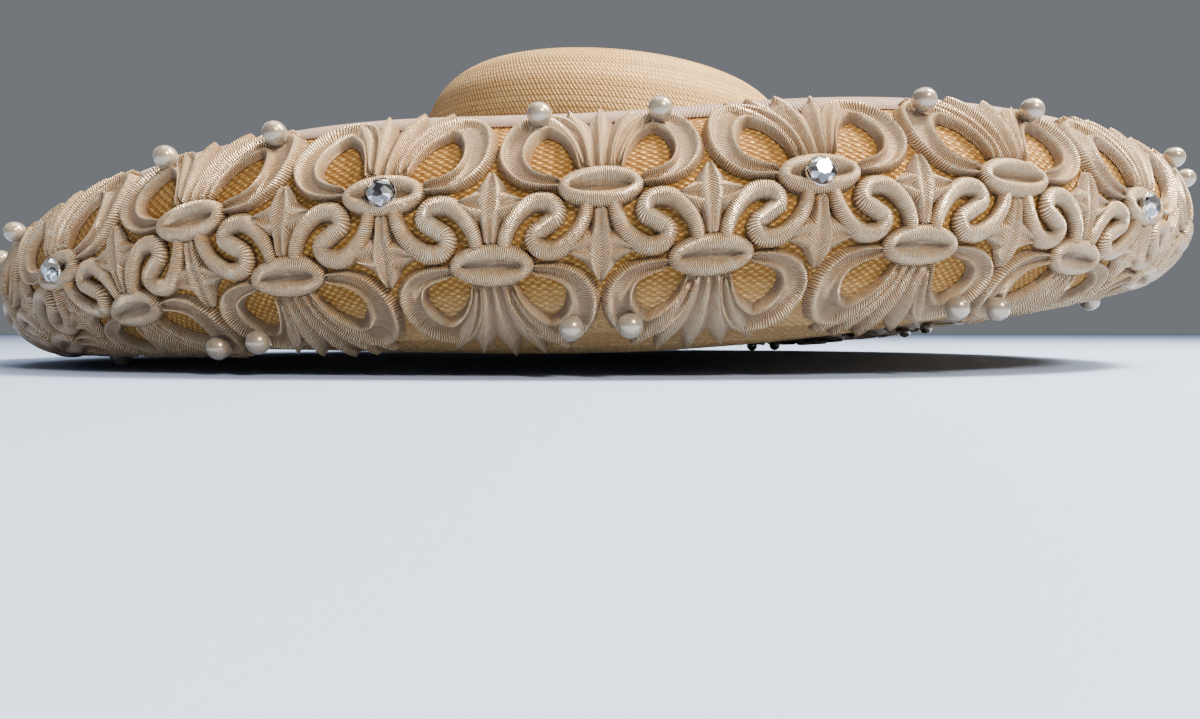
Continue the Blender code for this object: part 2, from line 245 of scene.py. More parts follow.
def ring_turns(shape):
    """Even turns round the hat."""
    return np.linspace(0.0, math.tau, shape.columns, endpoint=False)


def head_columns(shape):
    """UV lengths round the head's oval."""
    return np.linspace(0.0, math.tau * (HEAD_WIDTH + HEAD_DEPTH) / 4, shape.columns + 1)


def loft(rings, uv_rows, uv_columns, wrap=False, flip=False):
    """Quads through closed rings of points, with UVs that don't break at the seam."""
    rows, columns = len(rings), len(rings[0])
    vertices = np.concatenate(rings)
    faces, uvs = [], []
    for row in range(rows if wrap else rows - 1):
        far = (row + 1) % rows
        for column in range(columns):
            following = (column + 1) % columns
            corners = [(row, column, column), (row, following, column + 1),
                       (far, following, column + 1), (far, column, column)]
            if flip:
                corners.reverse()
            faces.append([r * columns + c for r, c, _ in corners])
            for r, _, place in corners:
                level = uv_rows[rows] if wrap and r == 0 and row == rows - 1 else uv_rows[r]
                uvs.append((uv_columns[place], level))
    return vertices, faces, uvs


def finish_piece(piece, slot, *nodes, material=None):
    """Gives a piece its material, and says what it rides on and stands for; the slot, what it is made of, is
    not used.
    """
    if material:
        piece.data.materials.append(material)
    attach(piece, BODY)
    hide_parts(*nodes)


# Straw braid

BRAID_PROFILE = ((0.0, 0.0), (0.5, 1.0))   # place in a row, share of the row's relief
COLLAR_ROWS = (0.8, 1.6, 3.2, 4.0, 5.6)    # UV rows of the collar's rings past the brim's last row
CROWN_STEPS = {"wall": 40, "shoulder": 40, "tip": 30, "inside": 40}
CROWN_TIP_END = 0.03                       # the tip's last ring, as a share of the foot's oval
CROWN_TIP_RELIEF = 0.3                     # rise of the tip's middle, as a share of a row's relief


def braid_rows(count):
    """Places of a braided surface's rings as row numbers, with their relief."""
    places = [(row + place, relief) for row in range(count) for place, relief in BRAID_PROFILE]
    return places + [(float(count), 0.0)]


def build_brim(shape, colours):
    """The brim: outer face from edge to foot, collar up and down, inner face back to the edge."""
    turns, rows, relief = ring_turns(shape), shape.brim_rows, shape.braid_relief
    inner_end = brim_sections(turns)["length"] - HEAD_TURN
    outer = braid_rows(rows)
    inner = outer[::-1]
    rings = [brim_points(turns, inner_end * place / rows, share * relief) for place, share in outer]
    collar_low = head_points(turns, HEAD_TURN)
    rings += [rings[-1] / 4 + head_points(turns) / 2 + collar_low / 4, collar_low,
              head_points(turns, COLLAR_HEIGHT), head_points(turns, COLLAR_HEIGHT, -BRIM_THICKNESS),
              head_points(turns, HEAD_TURN, -BRIM_THICKNESS)]
    rings += [brim_points(turns, inner_end * place / rows, -BRIM_THICKNESS - share * relief)
              for place, share in inner]
    inner_start = 2 * rows + math.ceil(COLLAR_ROWS[-1])
    levels = [place for place, _ in outer] + [rows + row for row in COLLAR_ROWS]
    levels += [inner_start - place for place, _ in inner] + [inner_start + 1.0]
    columns = girth_lengths(brim_points(turns, 0.0))
    brim = add_object("brim_straw", *loft(rings, levels, columns, wrap=True, flip=True))
    straw = straw_material("brim straw", colours, shape.strand_pitch,
                           lace_rows=(LACE_INSET + LACE_WIDTH) / shape.braid_width)
    finish_piece(brim, "straw", "brim", material=straw)


def crown_profile():
    """The crown's outline from foot to tip: rises and shares, with the distance along the straw."""
    wall = np.linspace(0.0, CROWN_WALL, CROWN_STEPS["wall"])[:-1]
    angle = np.linspace(0.0, math.pi / 2, CROWN_STEPS["shoulder"])
    tip = np.linspace(CROWN_TIP_SHARE, CROWN_TIP_END, CROWN_STEPS["tip"])[1:]
    rises = np.concatenate([wall, CROWN_WALL + CROWN_SHOULDER * np.sin(angle),
                            np.full(len(tip), CROWN_HEIGHT)])
    shares = np.concatenate([np.ones(len(wall)),
                             CROWN_TIP_SHARE + (1 - CROWN_TIP_SHARE) * np.cos(angle), tip])
    half = (HEAD_WIDTH + HEAD_DEPTH) / 4
    return rises, shares, running_lengths(np.stack([half * shares, rises], axis=-1))


def build_crown(shape, colours):
    """The crown: an outer and an inner face, joined at the foot and each closed at the tip."""
    turns, columns = ring_turns(shape), head_columns(shape)
    rises, shares, lengths = crown_profile()
    rows = round(lengths[-1] / shape.braid_width)

    def ring(place, relief=0.0, inward=0.0):
        """A ring of the outer face, or of the inner one where it is moved inward."""
        length = lengths[-1] * place / rows
        rise, share = np.interp(length, lengths, rises), np.interp(length, lengths, shares)
        slope = np.clip((rise - CROWN_WALL) / CROWN_SHOULDER, 0.0, 1.0)
        off = relief * shape.braid_relief - inward
        return head_points(turns, rise + off * slope, FIT_GAP - off * math.sqrt(1 - slope ** 2), share)

    outer_places = braid_rows(rows)
    outer = [ring(place, relief) for place, relief in outer_places]
    vertices, faces, uvs = loft(outer, [place for place, _ in outer_places], columns)
    inner_places = np.linspace(0, rows, CROWN_STEPS["inside"])
    inner = [ring(place, inward=CROWN_THICKNESS) for place in inner_places]
    more, more_faces, more_uvs = loft(inner, inner_places, columns, flip=True)
    start = len(vertices)
    vertices = np.concatenate([vertices, more, [ring(rows, CROWN_TIP_RELIEF).mean(axis=0)],
                               [inner[-1].mean(axis=0)]])
    faces += [[corner + start for corner in face] for face in more_faces]
    uvs += more_uvs
    top, bottom = len(vertices) - 2, len(vertices) - 1
    last, inner_last = start - shape.columns, top - shape.columns
    for column in range(shape.columns):
        following = (column + 1) % shape.columns
        here, there = columns[column], columns[column + 1]
        faces += [(last + column, last + following, top),
                  (inner_last + following, inner_last + column, bottom),
                  (following, column, start + column, start + following)]
        uvs += [(here, rows), (there, rows), (here, rows + 1),
                (there, rows), (here, rows), (here, rows + 1),
                (there, 0), (here, 0), (here, 0.5), (there, 0.5)]
    crown = add_object("crown_straw", vertices, faces, uvs)
    straw = straw_material("crown straw", colours, shape.crown_strand_pitch)
    finish_piece(crown, "straw", "crown", material=straw)


# Ribbons

FOLD_ROUND = 0.7              # rounding of the fold over the edge, as a share of the ribbon's thickness
FOLD_CORNER = (0.2, 0.3)      # a corner's middle, along the rounding and up the thickness
SWELL_PLACE, SWELL = 0.4, 1.1     # where across its width the ribbon swells, and to what thickness
SELVEDGE = 0.8                # thickness at the inner leg's border, as a share


def build_sweatband(shape, colours):
    """The ribbon inside the crown, a closed band with rounded edges."""
    turns = ring_turns(shape)
    inset = CROWN_THICKNESS + 2 * FIT_GAP
    edge = SWEATBAND_THICKNESS / 3
    legs = ((edge, 0.0), (SWEATBAND_HEIGHT / 2, 0.0), (SWEATBAND_HEIGHT - edge, 0.0),
            (SWEATBAND_HEIGHT, edge), (SWEATBAND_HEIGHT, 2 * edge), (SWEATBAND_HEIGHT - edge, 3 * edge),
            (SWEATBAND_HEIGHT / 2, 3 * edge), (edge, 3 * edge), (0.0, 2 * edge), (0.0, edge))
    rings = [head_points(turns, rise, inset + depth) for rise, depth in legs]
    levels = [rise + depth for rise, depth in legs] + [0.0]
    band = add_object("sweatband_ribbon", *loft(rings, levels, head_columns(shape), wrap=True))
    # Its dark colour is painted shade: the ribbon is coloured for the shade inside the crown
    ribbon = ribbon_material("sweatband ribbon", colours.sweatband, shape.rib_pitch)
    finish_piece(band, "sweatband", "sweatband", material=ribbon)


def build_edge_binding(shape, colours):
    """The ribbon folded over the edge, whose outer leg runs on under the lace."""
    turns = ring_turns(shape)
    outer, inner, thick = FIT_GAP, -BRIM_THICKNESS - FIT_GAP, BINDING_THICKNESS
    laid = outer + thick / 2
    fold = -EDGE_GAP - thick
    round_off = thick * FOLD_ROUND
    corner, corner_rise = fold + round_off * FOLD_CORNER[0], thick * FOLD_CORNER[1]
    border, swell_along, swell = BINDING_WIDTH - thick / 2, BINDING_WIDTH * SWELL_PLACE, thick * SWELL
    legs = (
        (shape.binding_tuck, outer), (shape.binding_tuck, laid), (BINDING_WIDTH, laid + thick / 4),
        (border, outer + thick), (swell_along, outer + swell), (fold + round_off, outer + thick),
        (corner, outer + corner_rise), (fold, -BRIM_THICKNESS / 2), (corner, inner - corner_rise),
        (fold + round_off, inner - thick), (swell_along, inner - swell), (border, inner - thick),
        (BINDING_WIDTH, inner - thick * SELVEDGE), (BINDING_WIDTH, inner), (-EDGE_GAP, inner),
        (-EDGE_GAP, outer),
    )
    rings = [brim_points(turns, along, off) for along, off in legs]
    levels = [along + abs(off) for along, off in legs] + [0.0]
    columns = girth_lengths(brim_points(turns, 0.0))
    binding = add_object("edge_binding_ribbon", *loft(rings, levels, columns, wrap=True))
    ribbon = ribbon_material("edge ribbon", colours.binding, shape.rib_pitch)
    finish_piece(binding, "ribbon", "edge_binding", material=ribbon)


# Lace, drawn flat: x along the band and y across it from the outer scallops, in millimetres

def with_mirrored(middle, *sides):
    """The middle path, then each side path and its mirror image."""
    return [middle] + [[(way * x, y, half) for x, y, half in path] for path in sides for way in (1, -1)]


OVAL_ACROSS = 34.7            # middle of the outer row's ovals
SCROLL_PATH = ((3.4, 37.5, 2.1), (4.4, 42.6, 2.2), (7.4, 47.6, 2.5), (12.0, 50.8, 2.8), (16.9, 50.2, 2.8),
               (18.2, 47.0, 2.7), (15.04, 44.5, 2.7))
LOOP_PATH = ((4.5, 3.5, 1.8), (6.0, 9.3, 2.6), (9.6, 14.8, 3.8), (15.0, 18.2, 5.0), (20.6, 17.2, 5.7),
             (24.2, 12.7, 5.4), (24.7, 7.6, 4.8), (21.8, 3.7, 3.5), (17.5, 2.0, 2.6), (13.2, 1.4, 1.9),
             (10.3, 1.0, 1.3))
PETAL_PATHS = with_mirrored(
    ((0.0, 4.0, 1.6), (0.0, 13.0, 2.6), (0.0, 23.5, 3.8), (0.0, 29.5, 2.8), (0.0, 34.6, 0.3)),
    ((2.6, 4.0, 1.4), (4.2, 13.0, 2.5), (7.2, 22.0, 3.7), (9.4, 27.4, 2.8), (11.4, 32.4, 0.3)),
    ((4.6, 6.0, 1.3), (8.4, 15.0, 2.5), (13.4, 22.6, 3.5), (17.0, 26.4, 2.5), (20.2, 29.4, 0.3)))
LEAF_PATHS = with_mirrored(
    ((0.0, -12.0, 2.4), (0.0, -6.0, 2.8), (0.0, -1.5, 4.8), (0.0, 3.4, 4.2), (0.0, 8.8, 0.3)),
    ((0.6, -0.8, 4.2), (3.4, -0.8, 4.6), (6.0, -0.6, 2.9), (9.4, 0.0, 0.3)))
LEAF_ACROSS = 51.5
OVAL_RINGS = ((6.4, 0.5, 0.40), (7.8, 1.2, 0.44), (8.6, 1.9, 0.82), (9.6, 3.0, 1.0), (10.8, 4.5, 0.90),
              (11.6, 5.5, 0.56), (12.0, 6.0, 0.0))   # half length, half width, share of the height
LOOP_SCALE = {"outer": (1.0, 1.25), "inner": (1.0, 1.14)}
PEARLS = {"outer": (18.8, 12.0), "inner": (8.8, 71.4)}
CORD_ROUNDNESS = 0.55
CORD_PROFILE = tuple((x, (1 - x * x) ** CORD_ROUNDNESS)
                     for x in (1.0, 0.93, 0.78, 0.55, 0.28, 0.0, -0.28, -0.55, -0.78, -0.93, -1.0))
LOOP_RIDGES = ((0.68, 0.16, 0.72), (-0.62, 0.20, 0.66))   # place, width, share of the height
PETAL_RIDGES = ((0.0, 0.34, 0.62),)
LEAF_RIDGES = ((0.46, 0.26, 0.52), (-0.46, 0.26, 0.52))
LOOP_FLOOR, PETAL_FLOOR, LEAF_FLOOR = 0.28, 0.38, 0.42    # share of the height between the ridges
LOOP_POINTS, PETAL_POINTS, LEAF_POINTS = 21, 15, 17       # points across
SCROLL_STEPS, LOOP_STEPS, PETAL_STEPS, LEAF_STEPS = 60, 42, 20, 16   # points along
SCROLL_TAPER, LOOP_TAPER, END_TAPER = 3.0, 2.5, 2.0       # length that an end is rounded over
BLUNT_END = 0.08              # width and height left at an end, as a share
PETAL_STAGGER, LEAF_BASE = 0.1, 0.2                       # heights that keep crossing work apart
CURVE_STEPS = 12              # fine steps for each given point of a path
OVAL_SIDES = 40
OVAL_THREAD_RING = (10.0, 4.5)    # half length and width of the ring that the threads are counted on
GUIDE_STEPS = 24              # guide columns for each repeat
GUIDE_ROWS = 49
GUIDE_MARGIN = 0.004          # guide past the lace's edges, in metres


def ridged_profile(ridges, floor, count):
    """A low dome with ridges along it: place across from 1 to -1, share of the height."""
    side = np.sin(np.linspace(math.pi / 2, -math.pi / 2, count))
    rise = floor * (1 - np.abs(side) ** 3)
    for place, width, share in ridges:
        rise += share * np.exp(-((side - place) / width) ** 2) * (1 - side ** 8)
    rise[[0, -1]] = 0.0
    return tuple(zip(side, rise))


def smooth_path(points, count):
    """Even samples of a smooth curve through the points; every column is carried along."""
    points = np.array(points, float)
    spans = np.linalg.norm(np.diff(points[:, :2], axis=0), axis=1)
    knots = np.concatenate(([0.0], np.cumsum(np.sqrt(spans))))
    slopes = np.gradient(points, knots, axis=0)
    fine = np.linspace(0.0, knots[-1], CURVE_STEPS * len(points))
    place = np.clip(np.searchsorted(knots, fine, side="right") - 1, 0, len(knots) - 2)
    span = (knots[place + 1] - knots[place])[:, None]
    t = (fine - knots[place])[:, None] / span
    curve = ((2 * t ** 3 - 3 * t ** 2 + 1) * points[place] + (t ** 3 - 2 * t ** 2 + t) * span * slopes[place]
             + (-2 * t ** 3 + 3 * t ** 2) * points[place + 1] + (t ** 3 - t ** 2) * span * slopes[place + 1])
    lengths = running_lengths(curve[:, :2])
    even = np.linspace(0.0, lengths[-1], count)
    return np.stack([np.interp(even, lengths, curve[:, c]) for c in range(points.shape[1])], axis=1), even


class FlatMesh:
    """Closed low solids drawn flat, in millimetres, with threads' UVs in metres."""

    def __init__(self):
        self.vertices, self.faces, self.uvs, self.crests = [], [], [], []

    def add(self, vertices, faces, uvs, height):
        """One more closed solid, with the height that its crests reach."""
        start = len(self.vertices)
        self.vertices += [tuple(v) for v in vertices]
        self.crests += [v[2] / height for v in vertices]
        self.faces += [tuple(corner + start for corner in face) for face in faces]
        self.uvs += uvs

    def stroke(self, path, count, height, profile, base=0.0, taper=END_TAPER):
        """A padded cord along a path of (x, y, half width), rounded off at both ends."""
        spots, lengths = smooth_path(path, count)
        ahead = np.gradient(spots[:, :2], axis=0)
        ahead /= np.linalg.norm(ahead, axis=1, keepdims=True)
        left = np.stack([-ahead[:, 1], ahead[:, 0]], axis=1)
        ends = np.minimum(lengths, lengths[-1] - lengths) / taper
        lift = BLUNT_END + (1 - BLUNT_END) * np.sqrt(1 - (1 - np.clip(ends, 0.0, 1.0)) ** 2)
        side, rise = np.transpose(profile)
        flat = spots[:, None, :2] + left[:, None] * (spots[:, 2] * lift)[:, None, None] * side[None, :, None]
        tall = base + height * lift[:, None] * rise
        across = side * spots[:, 2].mean() * MM
        vertices, faces, uvs = loft(np.concatenate([flat, tall[..., None]], axis=-1), lengths * MM,
                                    np.append(across, across[0]))
        points = len(side)
        faces += [tuple(reversed(range(points))), tuple(range((count - 1) * points, count * points))]
        uvs = [(run, place) for place, run in uvs]
        uvs += [(0.0, place) for place in reversed(across)]
        uvs += [(lengths[-1] * MM, place) for place in across]
        self.add(vertices, faces, uvs, base + height)

    def button(self, centre, height, sides=OVAL_SIDES):
        """A satin-stitched oval with a groove along its middle."""
        angles = math.tau * np.arange(sides + 1) / sides
        circle = np.stack([np.cos(angles), np.sin(angles)], axis=-1)
        run = running_lengths(circle * OVAL_THREAD_RING) * MM
        vertices = [(*centre, height * OVAL_RINGS[0][2])]
        for half_length, half_width, share in OVAL_RINGS:
            vertices += [(centre[0] + half_length * x, centre[1] + half_width * y, height * share)
                         for x, y in circle[:-1]]
        faces, uvs = [], []
        for number in range(sides):
            after = (number + 1) % sides
            here, there = run[number], run[number + 1]
            faces.append((0, 1 + number, 1 + after))
            uvs += [(here, 0.0), (here, MM), (there, MM)]
            for ring in range(len(OVAL_RINGS) - 1):
                low, high = 1 + ring * sides, 1 + (ring + 1) * sides
                near, far = (ring + 1) * MM, (ring + 2) * MM
                faces.append((low + number, high + number, high + after, low + after))
                uvs += [(here, near), (here, far), (there, far), (there, near)]
        last = 1 + (len(OVAL_RINGS) - 1) * sides
        faces.append(tuple(reversed(range(last, last + sides))))
        uvs += [(run[number], 0.0) for number in reversed(range(sides))]
        self.add(vertices, faces, uvs, height)

    def build(self, name):
        """The flat solids as one object in metres, with each point's share of its cord's height."""
        work = add_object(name, np.array(self.vertices) * MM, self.faces, self.uvs)
        work.data.attributes.new("crest", "FLOAT", "POINT").data.foreach_set("value", self.crests)
        return work


def motifs():
    """Each motif of one repeat: its row, the place of its oval, and which way its fan points."""
    across = LACE_WIDTH / MM - OVAL_ACROSS
    return (("outer", 0.0, OVAL_ACROSS, -1), ("inner", REPEAT / MM / 2, across, 1))


def guide_surface():
    """The brim's outer face under the lace, that flat work is laid on by its UVs."""
    lengths = np.linspace(-REPEAT, (LACE_REPEATS + 1) * REPEAT, GUIDE_STEPS * (LACE_REPEATS + 2) + 1)
    across = np.linspace(-GUIDE_MARGIN, LACE_WIDTH + GUIDE_MARGIN, GUIDE_ROWS)
    along, over = np.meshgrid(lengths, across, indexing="ij")
    turn, reach = band_turn(along), LACE_INSET + over
    points, normals = underside(turn, reach).reshape(-1, 3), outward(turn, reach).reshape(-1, 3)
    rows, columns = along.shape
    corner = np.arange(rows * columns).reshape(rows, columns)
    faces = np.stack([corner[:-1, :-1], corner[1:, :-1], corner[1:, 1:], corner[:-1, 1:]], -1).reshape(-1, 4)
    spots = np.stack([along, over], -1).reshape(-1, 2)
    guide = add_object("brim_guide", points, faces, spots[faces].reshape(-1, 2))
    attribute = guide.data.attributes.new("outward", "FLOAT_VECTOR", "POINT")
    attribute.data.foreach_set("vector", normals.ravel())
    return guide


def node_at(tree, kind, feeds=None, **settings):
    """A node with its settings, and with its inputs linked, or set to plain values, by name or place."""
    node = tree.nodes.new(kind)
    for name, value in settings.items():
        setattr(node, name, value)
    for place, value in (feeds or {}).items():
        if isinstance(value, bpy.types.NodeSocket):
            tree.links.new(value, node.inputs[place])
        else:
            node.inputs[place].default_value = value
    return node


def new_tree(name, sockets):
    """An empty geometry node tree with these inputs and one geometry output."""
    tree = bpy.data.node_groups.new(name, "GeometryNodeTree")
    for label, kind in sockets:
        tree.interface.new_socket(label, in_out="INPUT", socket_type="NodeSocket" + kind)
    tree.interface.new_socket("Geometry", in_out="OUTPUT", socket_type="NodeSocketGeometry")
    return tree


FACETED_FACES = 2000          # set stones with fewer faces than this keep their facets
WRAP_SOCKETS = (("Geometry", "Geometry"), ("Guide", "Object"), ("Repeats", "Int"),
                ("Repeat Length", "Float"), ("Lift", "Float"), ("Material", "Material"))


def laid_flat_work(tree, given):
    """Nodes that repeat flat work along the band and lay it on the guide; the outward way is stored."""
    offset = node_at(tree, "ShaderNodeCombineXYZ", {"X": given["Repeat Length"]}).outputs[0]
    line = node_at(tree, "GeometryNodeMeshLine", {"Count": given["Repeats"], "Offset": offset})
    copies = node_at(tree, "GeometryNodeInstanceOnPoints",
                     {"Points": line.outputs["Mesh"], "Instance": given["Geometry"]})
    flat = node_at(tree, "GeometryNodeRealizeInstances", {"Geometry": copies.outputs["Instances"]})
    guide = node_at(tree, "GeometryNodeObjectInfo", {"Object": given["Guide"]}).outputs["Geometry"]
    uv_map, normals = (node_at(tree, "GeometryNodeInputNamedAttribute", {"Name": name},
                               data_type="FLOAT_VECTOR").outputs["Attribute"]
                       for name in ("UVMap", "outward"))
    spot = node_at(tree, "GeometryNodeInputPosition").outputs[0]
    apart = node_at(tree, "ShaderNodeSeparateXYZ", {0: spot}).outputs
    where = node_at(tree, "ShaderNodeCombineXYZ", {"X": apart["X"], "Y": apart["Y"]}).outputs[0]
    ground, way = (node_at(tree, "GeometryNodeSampleUVSurface",
                           {"Mesh": guide, "Value": value, "UV Map": uv_map, "Sample UV": where},
                           data_type="FLOAT_VECTOR").outputs["Value"]
                   for value in (node_at(tree, "GeometryNodeInputPosition").outputs[0], normals))
    height = math_node(tree, "ADD", apart["Z"], given["Lift"])
    off = node_at(tree, "ShaderNodeVectorMath", {0: way, "Scale": height}, operation="SCALE")
    laid = node_at(tree, "ShaderNodeVectorMath", {0: ground, 1: off.outputs[0]}, operation="ADD")
    stored = node_at(tree, "GeometryNodeStoreNamedAttribute",
                     {"Name": "outward", "Geometry": flat.outputs["Geometry"], "Value": way},
                     data_type="FLOAT_VECTOR")
    placed = node_at(tree, "GeometryNodeSetPosition",
                     {"Geometry": stored.outputs["Geometry"], "Position": laid.outputs[0]})
    return placed.outputs["Geometry"], normals


def end_tree(tree, given, geometry):
    """The tree's last nodes: real geometry with its material."""
    real = node_at(tree, "GeometryNodeRealizeInstances", {"Geometry": geometry})
    coloured = node_at(tree, "GeometryNodeSetMaterial",
                       {"Geometry": real.outputs["Geometry"], "Material": given["Material"]})
    node_at(tree, "NodeGroupOutput", {"Geometry": coloured.outputs["Geometry"]})


def brim_tree(beads):
    """Geometry nodes that bend flat work round the brim, or set a bead, unbent, on each flat spot."""
    name = "Set on the brim" if beads else "Wrap round the brim"
    if name in bpy.data.node_groups:
        return bpy.data.node_groups[name]
    tree = new_tree(name, WRAP_SOCKETS + ((("Bead", "Object"),) if beads else ()))
    given = node_at(tree, "NodeGroupInput").outputs
    geometry, normal = laid_flat_work(tree, given)
    if beads:
        bead = node_at(tree, "GeometryNodeObjectInfo", {"Object": given["Bead"]}).outputs["Geometry"]
        stand = node_at(tree, "FunctionNodeAlignRotationToVector", {"Vector": normal}, axis="Z").outputs[0]
        laid = node_at(tree, "GeometryNodeInstanceOnPoints",
                       {"Points": geometry, "Instance": bead, "Rotation": stand})
    else:   # along, across and out are left-handed
        laid = node_at(tree, "GeometryNodeFlipFaces", {"Mesh": geometry})
    end_tree(tree, given, laid.outputs[0])
    return tree


def wrap(flat, name, material, lift, repeats=LACE_REPEATS, repeat_length=REPEAT, bead=None):
    """Lays a flat object on the brim with geometry nodes, and keeps the result as a plain mesh."""
    guide = guide_surface()
    tree = brim_tree(beads=bool(bead))
    modifier = flat.modifiers.new("wrap", "NODES")
    modifier.node_group = tree
    values = {"Guide": guide, "Repeats": repeats, "Repeat Length": repeat_length, "Lift": lift,
              "Material": material, "Bead": bead}
    for item in tree.interface.items_tree:
        if item.in_out == "INPUT" and item.name in values:
            modifier[item.identifier] = values[item.name]
    graph = bpy.context.evaluated_depsgraph_get()
    mesh = bpy.data.meshes.new_from_object(flat.evaluated_get(graph), depsgraph=graph)
    flat.modifiers.remove(modifier)
    for helper in (flat, guide, bead):
        if helper:
            bpy.data.objects.remove(helper, do_unlink=True)
    mesh.name = name
    mesh.shade_flat() if bead and len(mesh.polygons) < FACETED_FACES else mesh.shade_smooth()
    return link_object(name, mesh)


def build_lace(shape, colours):
    """The lace's motifs as flat cords, fans and ovals, wrapped round the brim."""
    wound = thread_material("lace thread, wound", colours, shape.thread_pitch, shape.cord_slant)
    fanned = thread_material("lace thread, fanned", colours, shape.petal_pitch, shape.petal_slant)
    scrolls, loops, petals, leaves, ovals = (FlatMesh() for _ in range(5))
    loop_profile = ridged_profile(LOOP_RIDGES, LOOP_FLOOR, LOOP_POINTS)
    petal_profile = ridged_profile(PETAL_RIDGES, PETAL_FLOOR, PETAL_POINTS)
    leaf_profile = ridged_profile(LEAF_RIDGES, LEAF_FLOOR, LEAF_POINTS)
    scroll_height, loop_height, petal_height, oval_height = (
        size / MM for size in (shape.scroll_height, shape.loop_height, shape.petal_height, shape.oval_height))
    near = np.array(SCROLL_PATH)
    far = near[-2::-1] * (-1, -1, 1) + (REPEAT / MM / 2, LACE_WIDTH / MM, 0)
    scroll = np.concatenate([near, far])
    for side in (1, -1):
        scrolls.stroke(scroll * (side, 1, 1), SCROLL_STEPS, scroll_height, CORD_PROFILE, taper=SCROLL_TAPER)
    for row, along, across, way in motifs():
        wide, tall = LOOP_SCALE[row]
        for side in (1, -1):
            loop = np.array(LOOP_PATH) * (side * wide, way * tall, 1) + (along, across, 0)
            loops.stroke(loop, LOOP_STEPS, loop_height, loop_profile, taper=LOOP_TAPER)
        for number, path in enumerate(PETAL_PATHS):
            petal = np.array(path) * (1, way, 1) + (along, across, 0)
            petals.stroke(petal, PETAL_STEPS, petal_height, petal_profile, PETAL_STAGGER * (number % 3))
        leaf_middle = across - way * (LEAF_ACROSS - OVAL_ACROSS)
        for path in LEAF_PATHS:
            leaf = np.array(path) * (1, -way, 1) + (along, leaf_middle, 0)
            leaves.stroke(leaf, LEAF_STEPS, petal_height, leaf_profile, LEAF_BASE)
        ovals.button((along, across), oval_height)
    for name, work, thread in (
        ("lace_scrolls", scrolls, wound), ("lace_loops", loops, wound), ("lace_petals", petals, fanned),
        ("lace_leaves", leaves, fanned), ("lace_ovals", ovals, wound),
    ):
        piece = wrap(work.build(name + "_flat"), name, thread, shape.lace_lift)
        finish_piece(piece, "lace", "lace_band")


def add_spots(name, spots):
    """A mesh of loose flat points, in metres from millimetres."""
    mesh = bpy.data.meshes.new(name)
    mesh.from_pydata([(x * MM, y * MM, 0.0) for x, y in spots], [], [])
    return link_object(name, mesh)


def round_solid(name, levels, sides):
    """A closed solid of rings round +Z from (radius, rise, turn) levels, its first and last ring capped."""
    vertices, faces = [], []
    for radius, rise, turn in levels:
        for step in range(sides):
            angle = math.tau * (step + turn) / sides
            vertices.append((radius * math.cos(angle), radius * math.sin(angle), rise))
    for row in range(len(levels) - 1):
        low, high = row * sides, (row + 1) * sides
        lean = levels[row + 1][2] - levels[row][2]
        for step in range(sides):
            after = (step + 1) % sides
            if lean > 0:
                faces += [(low + step, low + after, high + step), (low + after, high + after, high + step)]
            elif lean < 0:
                faces += [(low + step, high + after, high + step), (low + step, low + after, high + after)]
            else:
                faces.append((low + step, low + after, high + after, high + step))
    last = (len(levels) - 1) * sides
    faces.append(tuple(reversed(range(sides))))
    faces.append(tuple(range(last, last + sides)))
    return add_object(name, vertices, faces)


# Pearls are rings from pole to pole; the first and last stand off the poles by a share of a step
PEARL_RINGS, PEARL_SIDES, POLE_GAP = 14, 22, 0.35
PEARL_SEAT = 0.35             # where a pearl's foot sits, as a share of the loops' height
STONE_SEAT = 0.70             # where a stone's foot sits, as a share of the ovals' height
STONE_SIDES, CUP_SIDES = 8, 24
STONE_LEVELS = ((0.90, 0.0, 0.0), (0.98, 0.0008, 0.0), (0.98, 0.0011, 0.0), (0.80, 0.0024, 0.5),
                (0.50, 0.0032, 0.0))    # share of the radius, rise in metres, turn in sides
CUP_LEVELS = ((1.05, -0.0006, 0.0), (1.08, 0.0005, 0.0), (1.02, 0.0010, 0.0), (0.99, 0.0006, 0.0),
              (0.97, -0.0001, 0.0))


def build_pearls(shape, colours):
    """Pearls sewn on the loops of every second motif."""
    radius = PEARL_DIAMETER / 2
    polar = [math.pi * (ring + POLE_GAP) / (PEARL_RINGS - 1 + 2 * POLE_GAP) for ring in range(PEARL_RINGS)]
    levels = [(radius * math.sin(a), radius - radius * math.cos(a), 0.0) for a in polar]
    bead = round_solid("pearl_bead", levels, PEARL_SIDES)
    spots = [(side * along, across) for along, across in PEARLS.values() for side in (1, -1)]
    lift = shape.lace_lift + shape.loop_height * PEARL_SEAT
    pearls = wrap(add_spots("pearl_spots", spots), "pearls", pearl_material("pearl", colours), lift,
                  LACE_REPEATS // 2, 2 * REPEAT, bead)
    finish_piece(pearls, "pearl", "lace_band")


def build_crystals(shape, colours):
    """Foil-backed stones, each in a thin cup on a motif's oval."""
    radius = CRYSTAL_DIAMETER / 2
    lift = shape.lace_lift + shape.oval_height * STONE_SEAT
    count = LACE_REPEATS // 2
    nodes = [f"crystal_{number:02d}" for number in range(1, count + 1)]
    for name, slot, levels, sides, material in (
        ("crystal_stones", "crystal", STONE_LEVELS, STONE_SIDES, crystal_material("crystal", colours)),
        ("crystal_cups", "setting", CUP_LEVELS, CUP_SIDES, cup_material("setting", colours)),
    ):
        bead = round_solid(name + "_bead", [(radius * share, rise, turn) for share, rise, turn in levels],
                           sides)
        spots = add_spots(name + "_spots", [(REPEAT / MM, OVAL_ACROSS)])
        piece = wrap(spots, name, material, lift, count, 2 * REPEAT, bead)
        finish_piece(piece, slot, *nodes)


# Materials

